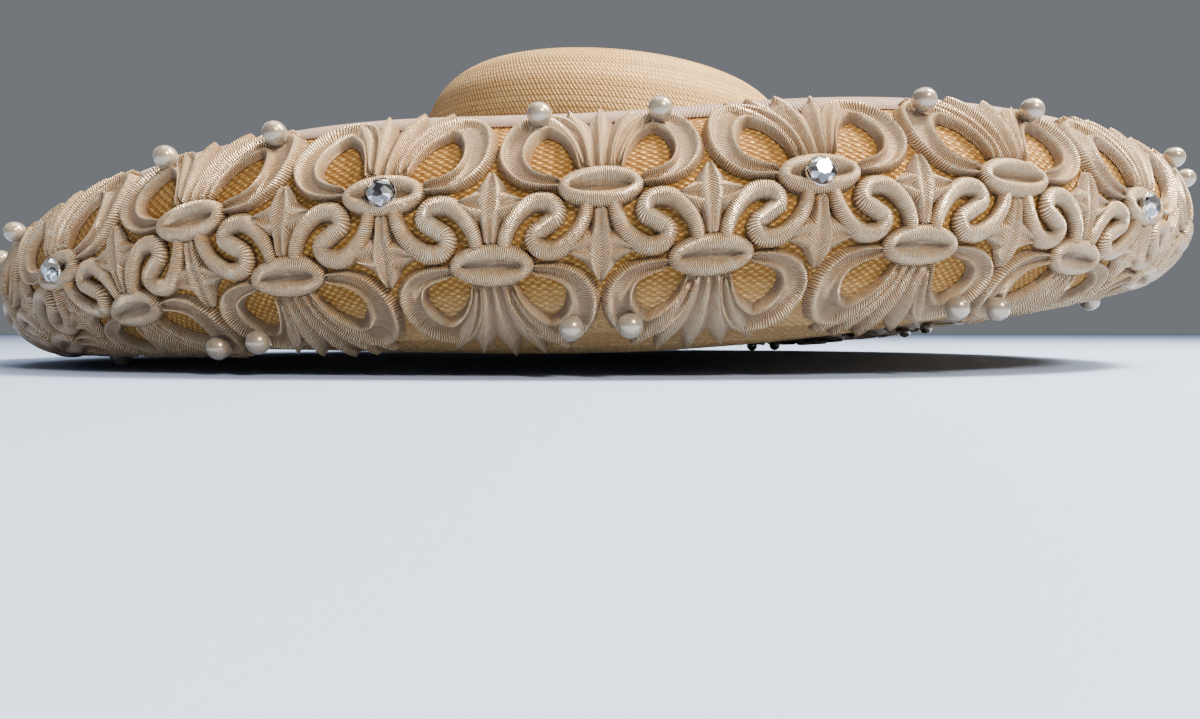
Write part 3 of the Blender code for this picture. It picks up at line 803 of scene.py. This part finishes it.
def new_material(name, **values):
    """A material with plain values on its shader: itself, its nodes, the shader's inputs, the places."""
    old = bpy.data.materials.get(name)
    if old:
        bpy.data.materials.remove(old)
    material = bpy.data.materials.new(name)
    material.use_nodes = True
    tree = material.node_tree
    inputs = tree.nodes["Principled BSDF"].inputs
    for label, value in values.items():
        inputs[label.replace("_", " ")].default_value = value
    return material, tree, inputs, node_at(tree, "ShaderNodeTexCoord").outputs


def math_node(tree, operation, *values):
    """A math node whose inputs are sockets or plain values; its output socket."""
    return node_at(tree, "ShaderNodeMath", dict(enumerate(values)), operation=operation).outputs[0]


NOISE_ROUGHNESS = 0.6


def noise_node(tree, place, scale, detail=3.0):
    """Noise over the surface, as one value."""
    feeds = {"Vector": place, "Scale": scale, "Detail": detail, "Roughness": NOISE_ROUGHNESS}
    return node_at(tree, "ShaderNodeTexNoise", feeds).outputs["Fac"]


def random_node(tree, step):
    """A random value that stays the same over each whole step."""
    whole = math_node(tree, "FLOOR", step)
    return node_at(tree, "ShaderNodeTexWhiteNoise", {"W": whole}, noise_dimensions="1D").outputs["Value"]


def two_tones(tree, place, wide, share):
    """Random tones over single steps and wider ones, mixed; the first have this share."""
    single = random_node(tree, place)
    wider = random_node(tree, math_node(tree, "DIVIDE", place, wide))
    return math_node(tree, "MULTIPLY_ADD", single, share, math_node(tree, "MULTIPLY", wider, 1 - share))


def remap(tree, value, low, high, to_low=0.0, to_high=1.0):
    """A value's range stretched to another, clamped."""
    feeds = {"Value": value, "From Min": low, "From Max": high, "To Min": to_low, "To Max": to_high}
    return node_at(tree, "ShaderNodeMapRange", feeds).outputs["Result"]


def mix_colours(tree, factor, first, second):
    """Two colours mixed, each a socket or a plain colour."""
    ends = [end if isinstance(end, bpy.types.NodeSocket) else (*end[:3], 1.0) for end in (first, second)]
    return node_at(tree, "ShaderNodeMix", {0: factor, 6: ends[0], 7: ends[1]}, data_type="RGBA").outputs[2]


def shader_group(name, inputs, outputs, fill):
    """A shader node group with named sockets, built once. An input without a default is a vector."""
    if name in bpy.data.node_groups:
        return bpy.data.node_groups[name]
    group = bpy.data.node_groups.new(name, "ShaderNodeTree")
    for label, default in inputs.items():
        kind = "NodeSocketVector" if default is None else "NodeSocketFloat"
        socket = group.interface.new_socket(label, in_out="INPUT", socket_type=kind)
        if default is not None:
            socket.default_value = default
    for label in outputs:
        group.interface.new_socket(label, in_out="OUTPUT", socket_type="NodeSocketFloat")
    node_at(group, "NodeGroupOutput", fill(group, node_at(group, "NodeGroupInput").outputs))
    return group


def plait_group():
    """Straw plait across a sewn row: strands that pass over and under one another."""
    def fill(tree, given):
        uv = node_at(tree, "ShaderNodeSeparateXYZ", {0: given["Row UV"]}).outputs
        wobble = noise_node(tree, given["Place"], scale=240.0)
        loose = math_node(tree, "MULTIPLY", math_node(tree, "SUBTRACT", wobble, 0.5), 0.5)
        turn = math_node(tree, "ADD", math_node(tree, "DIVIDE", uv["X"], given["Strand Pitch"]), loose)
        over = math_node(tree, "SINE", math_node(tree, "MULTIPLY", turn, math.tau))
        rows = math_node(tree, "ADD", uv["Y"], loose)
        under = math_node(tree, "SINE", math_node(tree, "MULTIPLY", rows, math.tau))
        weave = math_node(tree, "MULTIPLY_ADD", math_node(tree, "MULTIPLY", over, under), 0.5, 0.5)
        place = math_node(tree, "FRACT", uv["Y"])
        middle = math_node(tree, "ABSOLUTE", math_node(tree, "SUBTRACT", place, 0.5))
        edge = math_node(tree, "POWER", math_node(tree, "MULTIPLY", middle, 2.0), 5.0)
        seam = math_node(tree, "SUBTRACT", 1.0, edge)
        cell = node_at(tree, "ShaderNodeCombineXYZ", {
            axis: math_node(tree, "FLOOR", math_node(tree, "MULTIPLY", value, 2.0))
            for axis, value in (("X", turn), ("Y", rows))}).outputs[0]
        shade = node_at(tree, "ShaderNodeTexWhiteNoise", {"Vector": cell}, noise_dimensions="2D")
        braid = two_tones(tree, uv["Y"], wide=2.3, share=0.5)
        fleck = noise_node(tree, given["Place"], scale=900.0, detail=2.0)
        return {
            "Height": math_node(tree, "MULTIPLY", math_node(tree, "POWER", weave, 1.6), seam),
            # Strand: light on raised strands, dark where they dip and at the seams; the mask of the straw's
            # painted shade
            "Strand": math_node(tree, "MULTIPLY", remap(tree, weave, 0.40, 0.82),
                                remap(tree, seam, -0.9, 0.8)),
            "Shade": shade.outputs["Value"],
            "Row": math_node(tree, "MULTIPLY", braid, seam),
            "Fleck": remap(tree, fleck, 0.50, 0.68),
        }
    return shader_group("Straw plait", {"Row UV": None, "Place": None, "Strand Pitch": 0.0026},
                        ("Height", "Strand", "Shade", "Row", "Fleck"), fill)


def thread_group():
    """Threads laid side by side across a cord, from its UVs."""
    def fill(tree, given):
        uv = node_at(tree, "ShaderNodeSeparateXYZ", {0: given["Thread UV"]}).outputs
        wobble = noise_node(tree, given["Place"], scale=420.0)
        turn = math_node(tree, "DIVIDE", uv["X"], given["Thread Pitch"])
        slant = math_node(tree, "MULTIPLY_ADD", math_node(tree, "ABSOLUTE", uv["Y"]), given["Slant"], turn)
        phase = math_node(tree, "MULTIPLY_ADD", wobble, given["Wobble"], slant)
        wave = math_node(tree, "SINE", math_node(tree, "MULTIPLY", phase, math.tau))
        thread = math_node(tree, "MULTIPLY_ADD", wave, 0.5, 0.5)
        shade = two_tones(tree, math_node(tree, "ADD", phase, 0.25), wide=2.7, share=0.4)
        return {
            "Height": math_node(tree, "MULTIPLY", math_node(tree, "POWER", thread, 0.7),
                                remap(tree, shade, 0.0, 1.0, 1.0, 0.45)),
            # Thread: light on the threads' crowns, the mask of the painted shade between threads or ribs
            "Thread": remap(tree, thread, 0.05, 0.72),
            "Shade": shade,
        }
    return shader_group("Wrapped threads", {"Thread UV": None, "Place": None, "Thread Pitch": 0.0006,
                                            "Slant": 420.0, "Wobble": 1.0},
                        ("Height", "Thread", "Shade"), fill)


def uneven_group():
    """Slow and quick colour variation over a surface."""
    def fill(tree, given):
        slow = noise_node(tree, given["Place"], scale=38.0, detail=4.0)
        quick = noise_node(tree, given["Place"], scale=700.0, detail=2.0)
        both = math_node(tree, "MULTIPLY_ADD", quick, 0.45, math_node(tree, "MULTIPLY", slow, 0.55))
        return {"Mask": remap(tree, both, 0.36, 0.62)}
    return shader_group("Uneven colour", {"Place": None}, ("Mask",), fill)


def place_group(tree, group, **values):
    """A node of a shader group with its inputs linked or set; its outputs."""
    feeds = {label.replace("_", " "): value for label, value in values.items()}
    return node_at(tree, "ShaderNodeGroup", feeds, node_tree=group).outputs


def bump(tree, height, distance, strength):
    """Normals pressed out by a height."""
    feeds = {"Height": height, "Distance": distance, "Strength": strength}
    return node_at(tree, "ShaderNodeBump", feeds).outputs["Normal"]


SHADED_ROWS = 6               # sewn rows over which the shade under the lace fades


def straw_material(name, colours, strand_pitch, lace_rows=0.0):
    """Sewn straw braid with painted shade where its strands dip, and a painted shade and glow as far in as
    the lace covers it where its rows are given.
    """
    material, tree, shader, place = new_material(name, Metallic=0.30, Specular_IOR_Level=0.15,
                                                 Sheen_Weight=0.04)
    link = tree.links.new
    plait = place_group(tree, plait_group(), Row_UV=place["UV"], Place=place["Object"],
                        Strand_Pitch=strand_pitch)
    uneven = place_group(tree, uneven_group(), Place=place["Object"])
    light = mix_colours(tree, uneven["Mask"], colours.straw_dark, colours.straw)
    light = mix_colours(tree, math_node(tree, "MULTIPLY", plait["Shade"], 0.6), light, colours.straw_dark)
    light = mix_colours(tree, remap(tree, plait["Row"], 0.10, 0.60, 0.62, 0.0), light, colours.straw_rows_and_gap_shade)
    # Painted shade: the straw darkens where its strands dip under one another and along the row seams, by the
    # Strand mask
    straw = mix_colours(tree, remap(tree, plait["Strand"], 0.0, 1.0, 0.62, 1.0), colours.straw_rows_and_gap_shade, light)
    # Painted shade and painted glow: under the lace the straw turns darker and a more saturated orange, for
    # the lace's shadow and light passing through the straw
    if lace_rows:
        row = node_at(tree, "ShaderNodeSeparateXYZ", {0: place["UV"]}).outputs["Y"]
        shaded = remap(tree, row, lace_rows - SHADED_ROWS, lace_rows, 1.0, 0.0)
        glow = mix_colours(tree, math_node(tree, "MULTIPLY", plait["Shade"], 0.5), colours.straw_painted_glow,
                           colours.straw_under_painted_shade)
        under = mix_colours(tree, plait["Strand"], colours.straw_under_painted_shade, glow)
        straw = mix_colours(tree, shaded, straw, under)
    flecks = math_node(tree, "MULTIPLY", plait["Fleck"], 0.35)
    link(mix_colours(tree, flecks, straw, colours.straw_fleck), shader["Base Color"])
    link(remap(tree, plait["Height"], 0.0, 1.0, 0.70, 0.42), shader["Roughness"])
    link(bump(tree, plait["Height"], distance=0.0005, strength=0.8), shader["Normal"])
    return material


def thread_material(name, colours, pitch, slant):
    """Silky lace thread, with painted shade between the threads and low on the cords."""
    material, tree, shader, place = new_material(name, Metallic=0.22, Sheen_Weight=0.12,
                                                 Sheen_Roughness=0.3, Specular_IOR_Level=1.0)
    link = tree.links.new
    thread = place_group(tree, thread_group(), Thread_UV=place["UV"], Place=place["Object"],
                         Thread_Pitch=pitch, Slant=slant)
    uneven = place_group(tree, uneven_group(), Place=place["Object"])
    crest = node_at(tree, "ShaderNodeAttribute", attribute_name="crest").outputs["Fac"]
    silk = mix_colours(tree, uneven["Mask"], colours.lace_dark, colours.lace)
    silk = mix_colours(tree, remap(tree, thread["Shade"], 0.15, 0.85), silk, colours.lace_dark)
    # Painted shade: the thread darkens towards the cords' low places, by each point's share of its cord's
    # height
    silk = mix_colours(tree, remap(tree, crest, 0.08, 0.72, 0.85, 0.0), silk, colours.lace_low_painted_shade)
    # Painted shade between a cord's threads
    link(mix_colours(tree, thread["Thread"], colours.lace_painted_thread_shade, silk), shader["Base Color"])
    link(remap(tree, thread["Height"], 0.0, 1.0, 0.50, 0.20), shader["Roughness"])
    link(bump(tree, thread["Height"], distance=0.0006, strength=1.0), shader["Normal"])
    return material


# Painted shade between the ribs, as a share of the ribbon's colour
RIB_GAP_SHADE, WORN_RIB = 0.30, 0.85    # darkness between the ribs and of duller cloth, as shares


def ribbon_material(name, colour, rib_pitch):
    """Ribbed ribbon, with painted shade between its ribs."""
    material, tree, shader, place = new_material(name, Roughness=0.55, Sheen_Weight=0.3)
    link = tree.links.new
    ribs = place_group(tree, thread_group(), Thread_UV=place["UV"], Place=place["Object"],
                       Thread_Pitch=rib_pitch, Wobble=0.15)
    uneven = place_group(tree, uneven_group(), Place=place["Object"])
    dark, soft = ([share * c for c in colour[:3]] for share in (RIB_GAP_SHADE, WORN_RIB))
    cloth = mix_colours(tree, uneven["Mask"], soft, colour)
    # Painted shade between the ribs
    link(mix_colours(tree, ribs["Thread"], dark, cloth), shader["Base Color"])
    link(bump(tree, ribs["Height"], distance=0.0003, strength=0.9), shader["Normal"])
    return material


def pearl_material(name, colours):
    """Pearl with pale clouds under a gloss."""
    material, tree, shader, place = new_material(name, Metallic=0.45, Sheen_Weight=0.35,
                                                 Sheen_Roughness=0.35, Coat_Weight=0.8,
                                                 Coat_Roughness=0.06)
    link = tree.links.new
    tint = noise_node(tree, place["Object"], scale=180.0)
    link(mix_colours(tree, remap(tree, tint, 0.32, 0.68, 0.05, 0.50), colours.pearl, colours.pearl_pale),
         shader["Base Color"])
    link(remap(tree, tint, 0.3, 0.7, 0.22, 0.32), shader["Roughness"])
    return material


def crystal_material(name, colours):
    """Foil seen through a cut stone, with painted reflections of its facets in light and dark cells."""
    material, tree, shader, place = new_material(name, Metallic=0.9, Roughness=0.05, Coat_Weight=1.0,
                                                 Coat_Roughness=0.02)
    cell = node_at(tree, "ShaderNodeTexVoronoi", {"Vector": place["Object"], "Scale": 420.0})
    painted_facet_reflection = node_at(tree, "ShaderNodeRGBToBW", {0: cell.outputs["Color"]}).outputs[0]
    tree.links.new(mix_colours(tree, remap(tree, painted_facet_reflection, 0.40, 0.66), colours.crystal_painted_dark_reflection, colours.crystal),
                   shader["Base Color"])
    return material


def cup_material(name, colours):
    """Metal cups, duller where they are worn."""
    material, tree, shader, place = new_material(name, Metallic=1.0)
    wear = noise_node(tree, place["Object"], scale=300.0)
    tree.links.new(remap(tree, wear, 0.3, 0.7, 0.18, 0.36), shader["Roughness"])
    tree.links.new(mix_colours(tree, remap(tree, wear, 0.3, 0.7), colours.cup_worn, colours.cup),
                   shader["Base Color"])
    return material


# Stage

SENSOR_WIDTH = 36.0
FLOOR_REACH = 8.0
LIT_SPOT = (0.0, -0.05, 0.05)
LIGHTS = {                    # place, size and colour; the powers are among the settings
    "top": ((0.0, 0.30, 5.0), 4.2, (0.97, 0.98, 1.0)),
    "key": ((0.80, -0.22, 1.30), 0.30, (1.0, 0.88, 0.68)),
    "fill": ((0.55, -1.00, 0.75), 0.22, (1.0, 0.90, 0.74)),
    "rim": ((0.75, -0.10, 0.80), 0.4, (1.0, 0.96, 0.90)),
}


def aim(thing, target):
    """Turns a light or camera towards a point."""
    thing.rotation_euler = (Vector(target) - thing.location).to_track_quat("-Z", "Y").to_euler()


def floor_material(name, colour):
    """A studio floor with a faint grain."""
    material, tree, shader, place = new_material(name, Roughness=0.7)
    grain = math_node(tree, "MULTIPLY", noise_node(tree, place["Object"], scale=60.0), 0.12)
    tree.links.new(mix_colours(tree, grain, colour, [0.9 * c for c in colour[:3]]), shader["Base Color"])
    return material


def build_stage(stage, colours):
    """The photo's camera, a floor and the studio's lights."""
    camera = link_object("photo_camera", bpy.data.cameras.new("photo_camera"))
    camera.data.sensor_width = SENSOR_WIDTH
    camera.data.lens = SENSOR_WIDTH * stage.focal_pixels / PHOTO_WIDTH
    camera.data.clip_start = 0.01
    camera.location = (stage.camera_side, -stage.camera_back, stage.camera_height)
    camera.rotation_euler = Euler((math.pi / 2 + stage.camera_pitch, 0.0, -stage.camera_yaw))
    bpy.context.scene.camera = camera

    square = ((0, 0), (1, 0), (1, 1), (0, 1))
    corners = [(FLOOR_REACH * (2 * x - 1), FLOOR_REACH * (2 * y - 1), 0.0) for x, y in square]
    floor = add_object("floor", corners, [(0, 1, 2, 3)], square)
    floor.data.materials.append(floor_material("floor", colours.floor))

    world = bpy.data.worlds.new("studio")
    world.use_nodes = True
    background = world.node_tree.nodes["Background"]
    background.inputs["Color"].default_value = (*colours.sky[:3], 1.0)
    background.inputs["Strength"].default_value = stage.world_light
    bpy.context.scene.world = world
    for name, (spot, size, tint) in LIGHTS.items():
        light = bpy.data.lights.new(name, "AREA")
        light.energy, light.size, light.color = getattr(stage, name + "_power"), size, tint
        lamp = link_object(name, light)
        lamp.location = spot
        aim(lamp, LIT_SPOT)


# Settings

def length(label, text, default):
    """A length that can be set, in metres."""
    return bpy.props.FloatProperty(name=label, description=text, default=default, unit="LENGTH",
                                   precision=5, min=0.0)


def colour(label, text, default):
    """A colour that can be set."""
    return bpy.props.FloatVectorProperty(name=label, description=text, default=default, size=3,
                                         subtype="COLOR", min=0.0, max=1.0)


def number(label, text, default):
    """A plain number that can be set."""
    return bpy.props.FloatProperty(name=label, description=text, default=default)


class HatShape(bpy.types.PropertyGroup):
    """Sizes of the hat's finish"""
    columns: bpy.props.IntProperty(name="Columns", description="Facets round the hat", default=232, min=48)
    brim_rows: bpy.props.IntProperty(name="Brim rows", description="Sewn rows of braid across the brim",
                                     default=86, min=8)
    braid_width: length("Braid width", "Width of a sewn row of the braid", 0.0023)
    braid_relief: length("Braid relief", "Height of a row over its seam", 0.00026)
    strand_pitch: length("Strand pitch", "Distance between the plait's strands", 0.0025)
    crown_strand_pitch: length("Crown strand pitch", "Distance between the crown's strands", 0.0017)
    scroll_height: length("Scroll height", "Height of the padded scrolls", 0.0032)
    loop_height: length("Loop height", "Height of the loops' ridges", 0.0034)
    petal_height: length("Petal height", "Height of petals and leaves", 0.0027)
    oval_height: length("Oval height", "Height of the padded ovals", 0.0036)
    lace_lift: length("Lace lift", "Lace over the straw", 0.0004)
    thread_pitch: length("Thread pitch", "Distance between a cord's threads", 0.00056)
    binding_tuck: length("Ribbon tuck", "Reach of the edge ribbon under the lace", 0.0165)
    petal_pitch: length("Petal thread pitch", "Distance between the threads of petals and leaves", 0.00074)
    cord_slant: number("Cord slant", "Threads' slant over the cords", 420.0)
    petal_slant: number("Petal slant", "Threads' slant over petals and leaves", 1700.0)
    rib_pitch: length("Rib pitch", "Distance between the ribbon's ribs", 0.0009)


class HatColours(bpy.types.PropertyGroup):
    """Colours of the hat and the studio"""
    straw: colour("Straw", "Light strands of the braid", (0.70, 0.49, 0.24))
    straw_dark: colour("Straw, dark", "Dark strands of the braid", (0.48, 0.29, 0.11))
    # Painted shade: the colour of the gaps between strands, also used for randomly darker rows
    straw_rows_and_gap_shade: colour("Straw gaps", "Gaps between the braid's strands", (0.28, 0.15, 0.05))
    # Painted shade and glow of the straw under the lace
    straw_painted_glow: colour("Straw under the lace", "Light strands where the lace shades them",
                       (0.48, 0.28, 0.07))
    straw_under_painted_shade: colour("Straw gaps under the lace", "Gaps between the shaded strands",
                        (0.19, 0.08, 0.014))
    straw_fleck: colour("Straw fleck", "Flecks in the straw", (0.30, 0.16, 0.05))
    lace: colour("Lace", "Lace thread", (1.0, 0.83, 0.52))
    lace_dark: colour("Lace, dark", "Duller lace thread", (0.56, 0.345, 0.155))
    # Painted shade low on the cords and between the threads
    lace_low_painted_shade: colour("Lace, low", "Lace thread between the ridges", (0.32, 0.165, 0.06))
    lace_painted_thread_shade: colour("Between threads", "Gaps between a cord's threads", (0.20, 0.095, 0.035))
    binding: colour("Edge ribbon", "Ribbon round the edge", (0.40, 0.23, 0.16))
    # Painted shade: the sweatband is coloured dark brown for the shade inside the crown
    sweatband: colour("Sweatband", "Ribbon inside the crown", (0.16, 0.09, 0.05))
    pearl: colour("Pearl", "Body of the pearls", (0.28, 0.22, 0.155))
    pearl_pale: colour("Pearl, pale", "Pale clouds in the pearls", (0.56, 0.47, 0.35))
    crystal: colour("Crystal", "Foil behind the crystal", (0.92, 0.92, 0.90))
    # Painted reflection: the colour of the stones' dark facets
    crystal_painted_dark_reflection: colour("Crystal, dark", "Dark facets of the crystal", (0.10, 0.10, 0.11))
    cup: colour("Setting", "Metal of the cups", (0.72, 0.70, 0.66))
    cup_worn: colour("Setting, worn", "Worn metal of the cups", (0.52, 0.49, 0.44))
    floor: colour("Floor", "Studio floor", (0.36, 0.46, 0.69))
    sky: colour("Studio light", "Light from all round", (0.82, 0.87, 0.95))


class HatStage(bpy.types.PropertyGroup):
    """Camera and lights"""
    focal_pixels: number("Focal length", "In pixels of a picture 1200 wide", 899.0)
    camera_side: length("Camera side", "Camera to the right of the hat's middle", 0.0)
    camera_back: length("Camera distance", "Camera in front of the hat's middle", 0.456)
    camera_height: length("Camera height", "Camera over the floor", 0.013)
    camera_yaw: number("Camera yaw", "Turn to the right, in radians", 0.004)
    camera_pitch: number("Camera pitch", "Upward tilt, in radians", -0.030)
    world_light: number("All-round light", "Strength of the studio's light", 0.21)
    top_power: number("Top light", "Watts", 222.0)
    key_power: number("Key light", "Watts", 90.0)
    fill_power: number("Fill light", "Watts", 20.0)
    rim_power: number("Rim light", "Watts", 12.0)


def built(build, context):
    """Builds a piece from the scene's settings, for an operator."""
    build(context.scene.hat_shape, context.scene.hat_colours)
    return {"FINISHED"}


class HAT_OT_stage(bpy.types.Operator):
    """Places the camera, the floor and the studio lights"""
    bl_idname = "hat.stage"
    bl_label = "Stage"

    def execute(self, context):
        build_stage(context.scene.hat_stage, context.scene.hat_colours)
        return {"FINISHED"}


class HAT_OT_brim(bpy.types.Operator):
    """Builds the brim of sewn straw braid"""
    bl_idname = "hat.brim"
    bl_label = "Brim"

    def execute(self, context):
        return built(build_brim, context)


class HAT_OT_crown(bpy.types.Operator):
    """Builds the crown of sewn straw braid"""
    bl_idname = "hat.crown"
    bl_label = "Crown"

    def execute(self, context):
        return built(build_crown, context)


class HAT_OT_sweatband(bpy.types.Operator):
    """Builds the ribbon inside the foot of the crown"""
    bl_idname = "hat.sweatband"
    bl_label = "Sweatband"

    def execute(self, context):
        return built(build_sweatband, context)


class HAT_OT_edge_binding(bpy.types.Operator):
    """Builds the ribbon folded over the brim's edge"""
    bl_idname = "hat.edge_binding"
    bl_label = "Edge binding"

    def execute(self, context):
        return built(build_edge_binding, context)


class HAT_OT_lace(bpy.types.Operator):
    """Builds the lace's scrolls, loops, petals, leaves and ovals"""
    bl_idname = "hat.lace"
    bl_label = "Lace"

    def execute(self, context):
        return built(build_lace, context)


class HAT_OT_pearls(bpy.types.Operator):
    """Builds the pearls sewn on the lace"""
    bl_idname = "hat.pearls"
    bl_label = "Pearls"

    def execute(self, context):
        return built(build_pearls, context)


class HAT_OT_crystals(bpy.types.Operator):
    """Builds the crystals and their cups"""
    bl_idname = "hat.crystals"
    bl_label = "Crystals"

    def execute(self, context):
        return built(build_crystals, context)


OPERATORS = (HAT_OT_stage, HAT_OT_brim, HAT_OT_crown, HAT_OT_sweatband, HAT_OT_edge_binding,
             HAT_OT_lace, HAT_OT_pearls, HAT_OT_crystals)


class HAT_PT_pieces(bpy.types.Panel):
    """Lists the hat's settings and the buttons that build its pieces"""
    bl_idname = "HAT_PT_pieces"
    bl_label = "Rolled-brim straw hat"
    bl_space_type = "VIEW_3D"
    bl_region_type = "UI"
    bl_category = "Hat"

    def draw(self, context):
        for settings in (context.scene.hat_shape, context.scene.hat_colours, context.scene.hat_stage):
            box = self.layout.box()
            for name in settings.__annotations__:
                box.prop(settings, name)
        for operator in OPERATORS:
            self.layout.operator(operator.bl_idname)


SETTINGS = {"hat_shape": HatShape, "hat_colours": HatColours, "hat_stage": HatStage}


def register():
    """Registers the settings, the operators and the panel."""
    for kind in (*SETTINGS.values(), *OPERATORS, HAT_PT_pieces):
        bpy.utils.register_class(kind)
    for name, kind in SETTINGS.items():
        setattr(bpy.types.Scene, name, bpy.props.PointerProperty(type=kind))


def unregister():
    """Removes what register added."""
    for name in SETTINGS:
        delattr(bpy.types.Scene, name)
    for kind in reversed((*SETTINGS.values(), *OPERATORS, HAT_PT_pieces)):
        bpy.utils.unregister_class(kind)


def main():
    """Builds the whole hat and its stage."""
    register()
    for operator in OPERATORS:
        area, name = operator.bl_idname.split(".")
        getattr(getattr(bpy.ops, area), name)()


if __name__ == "__main__":
    main()
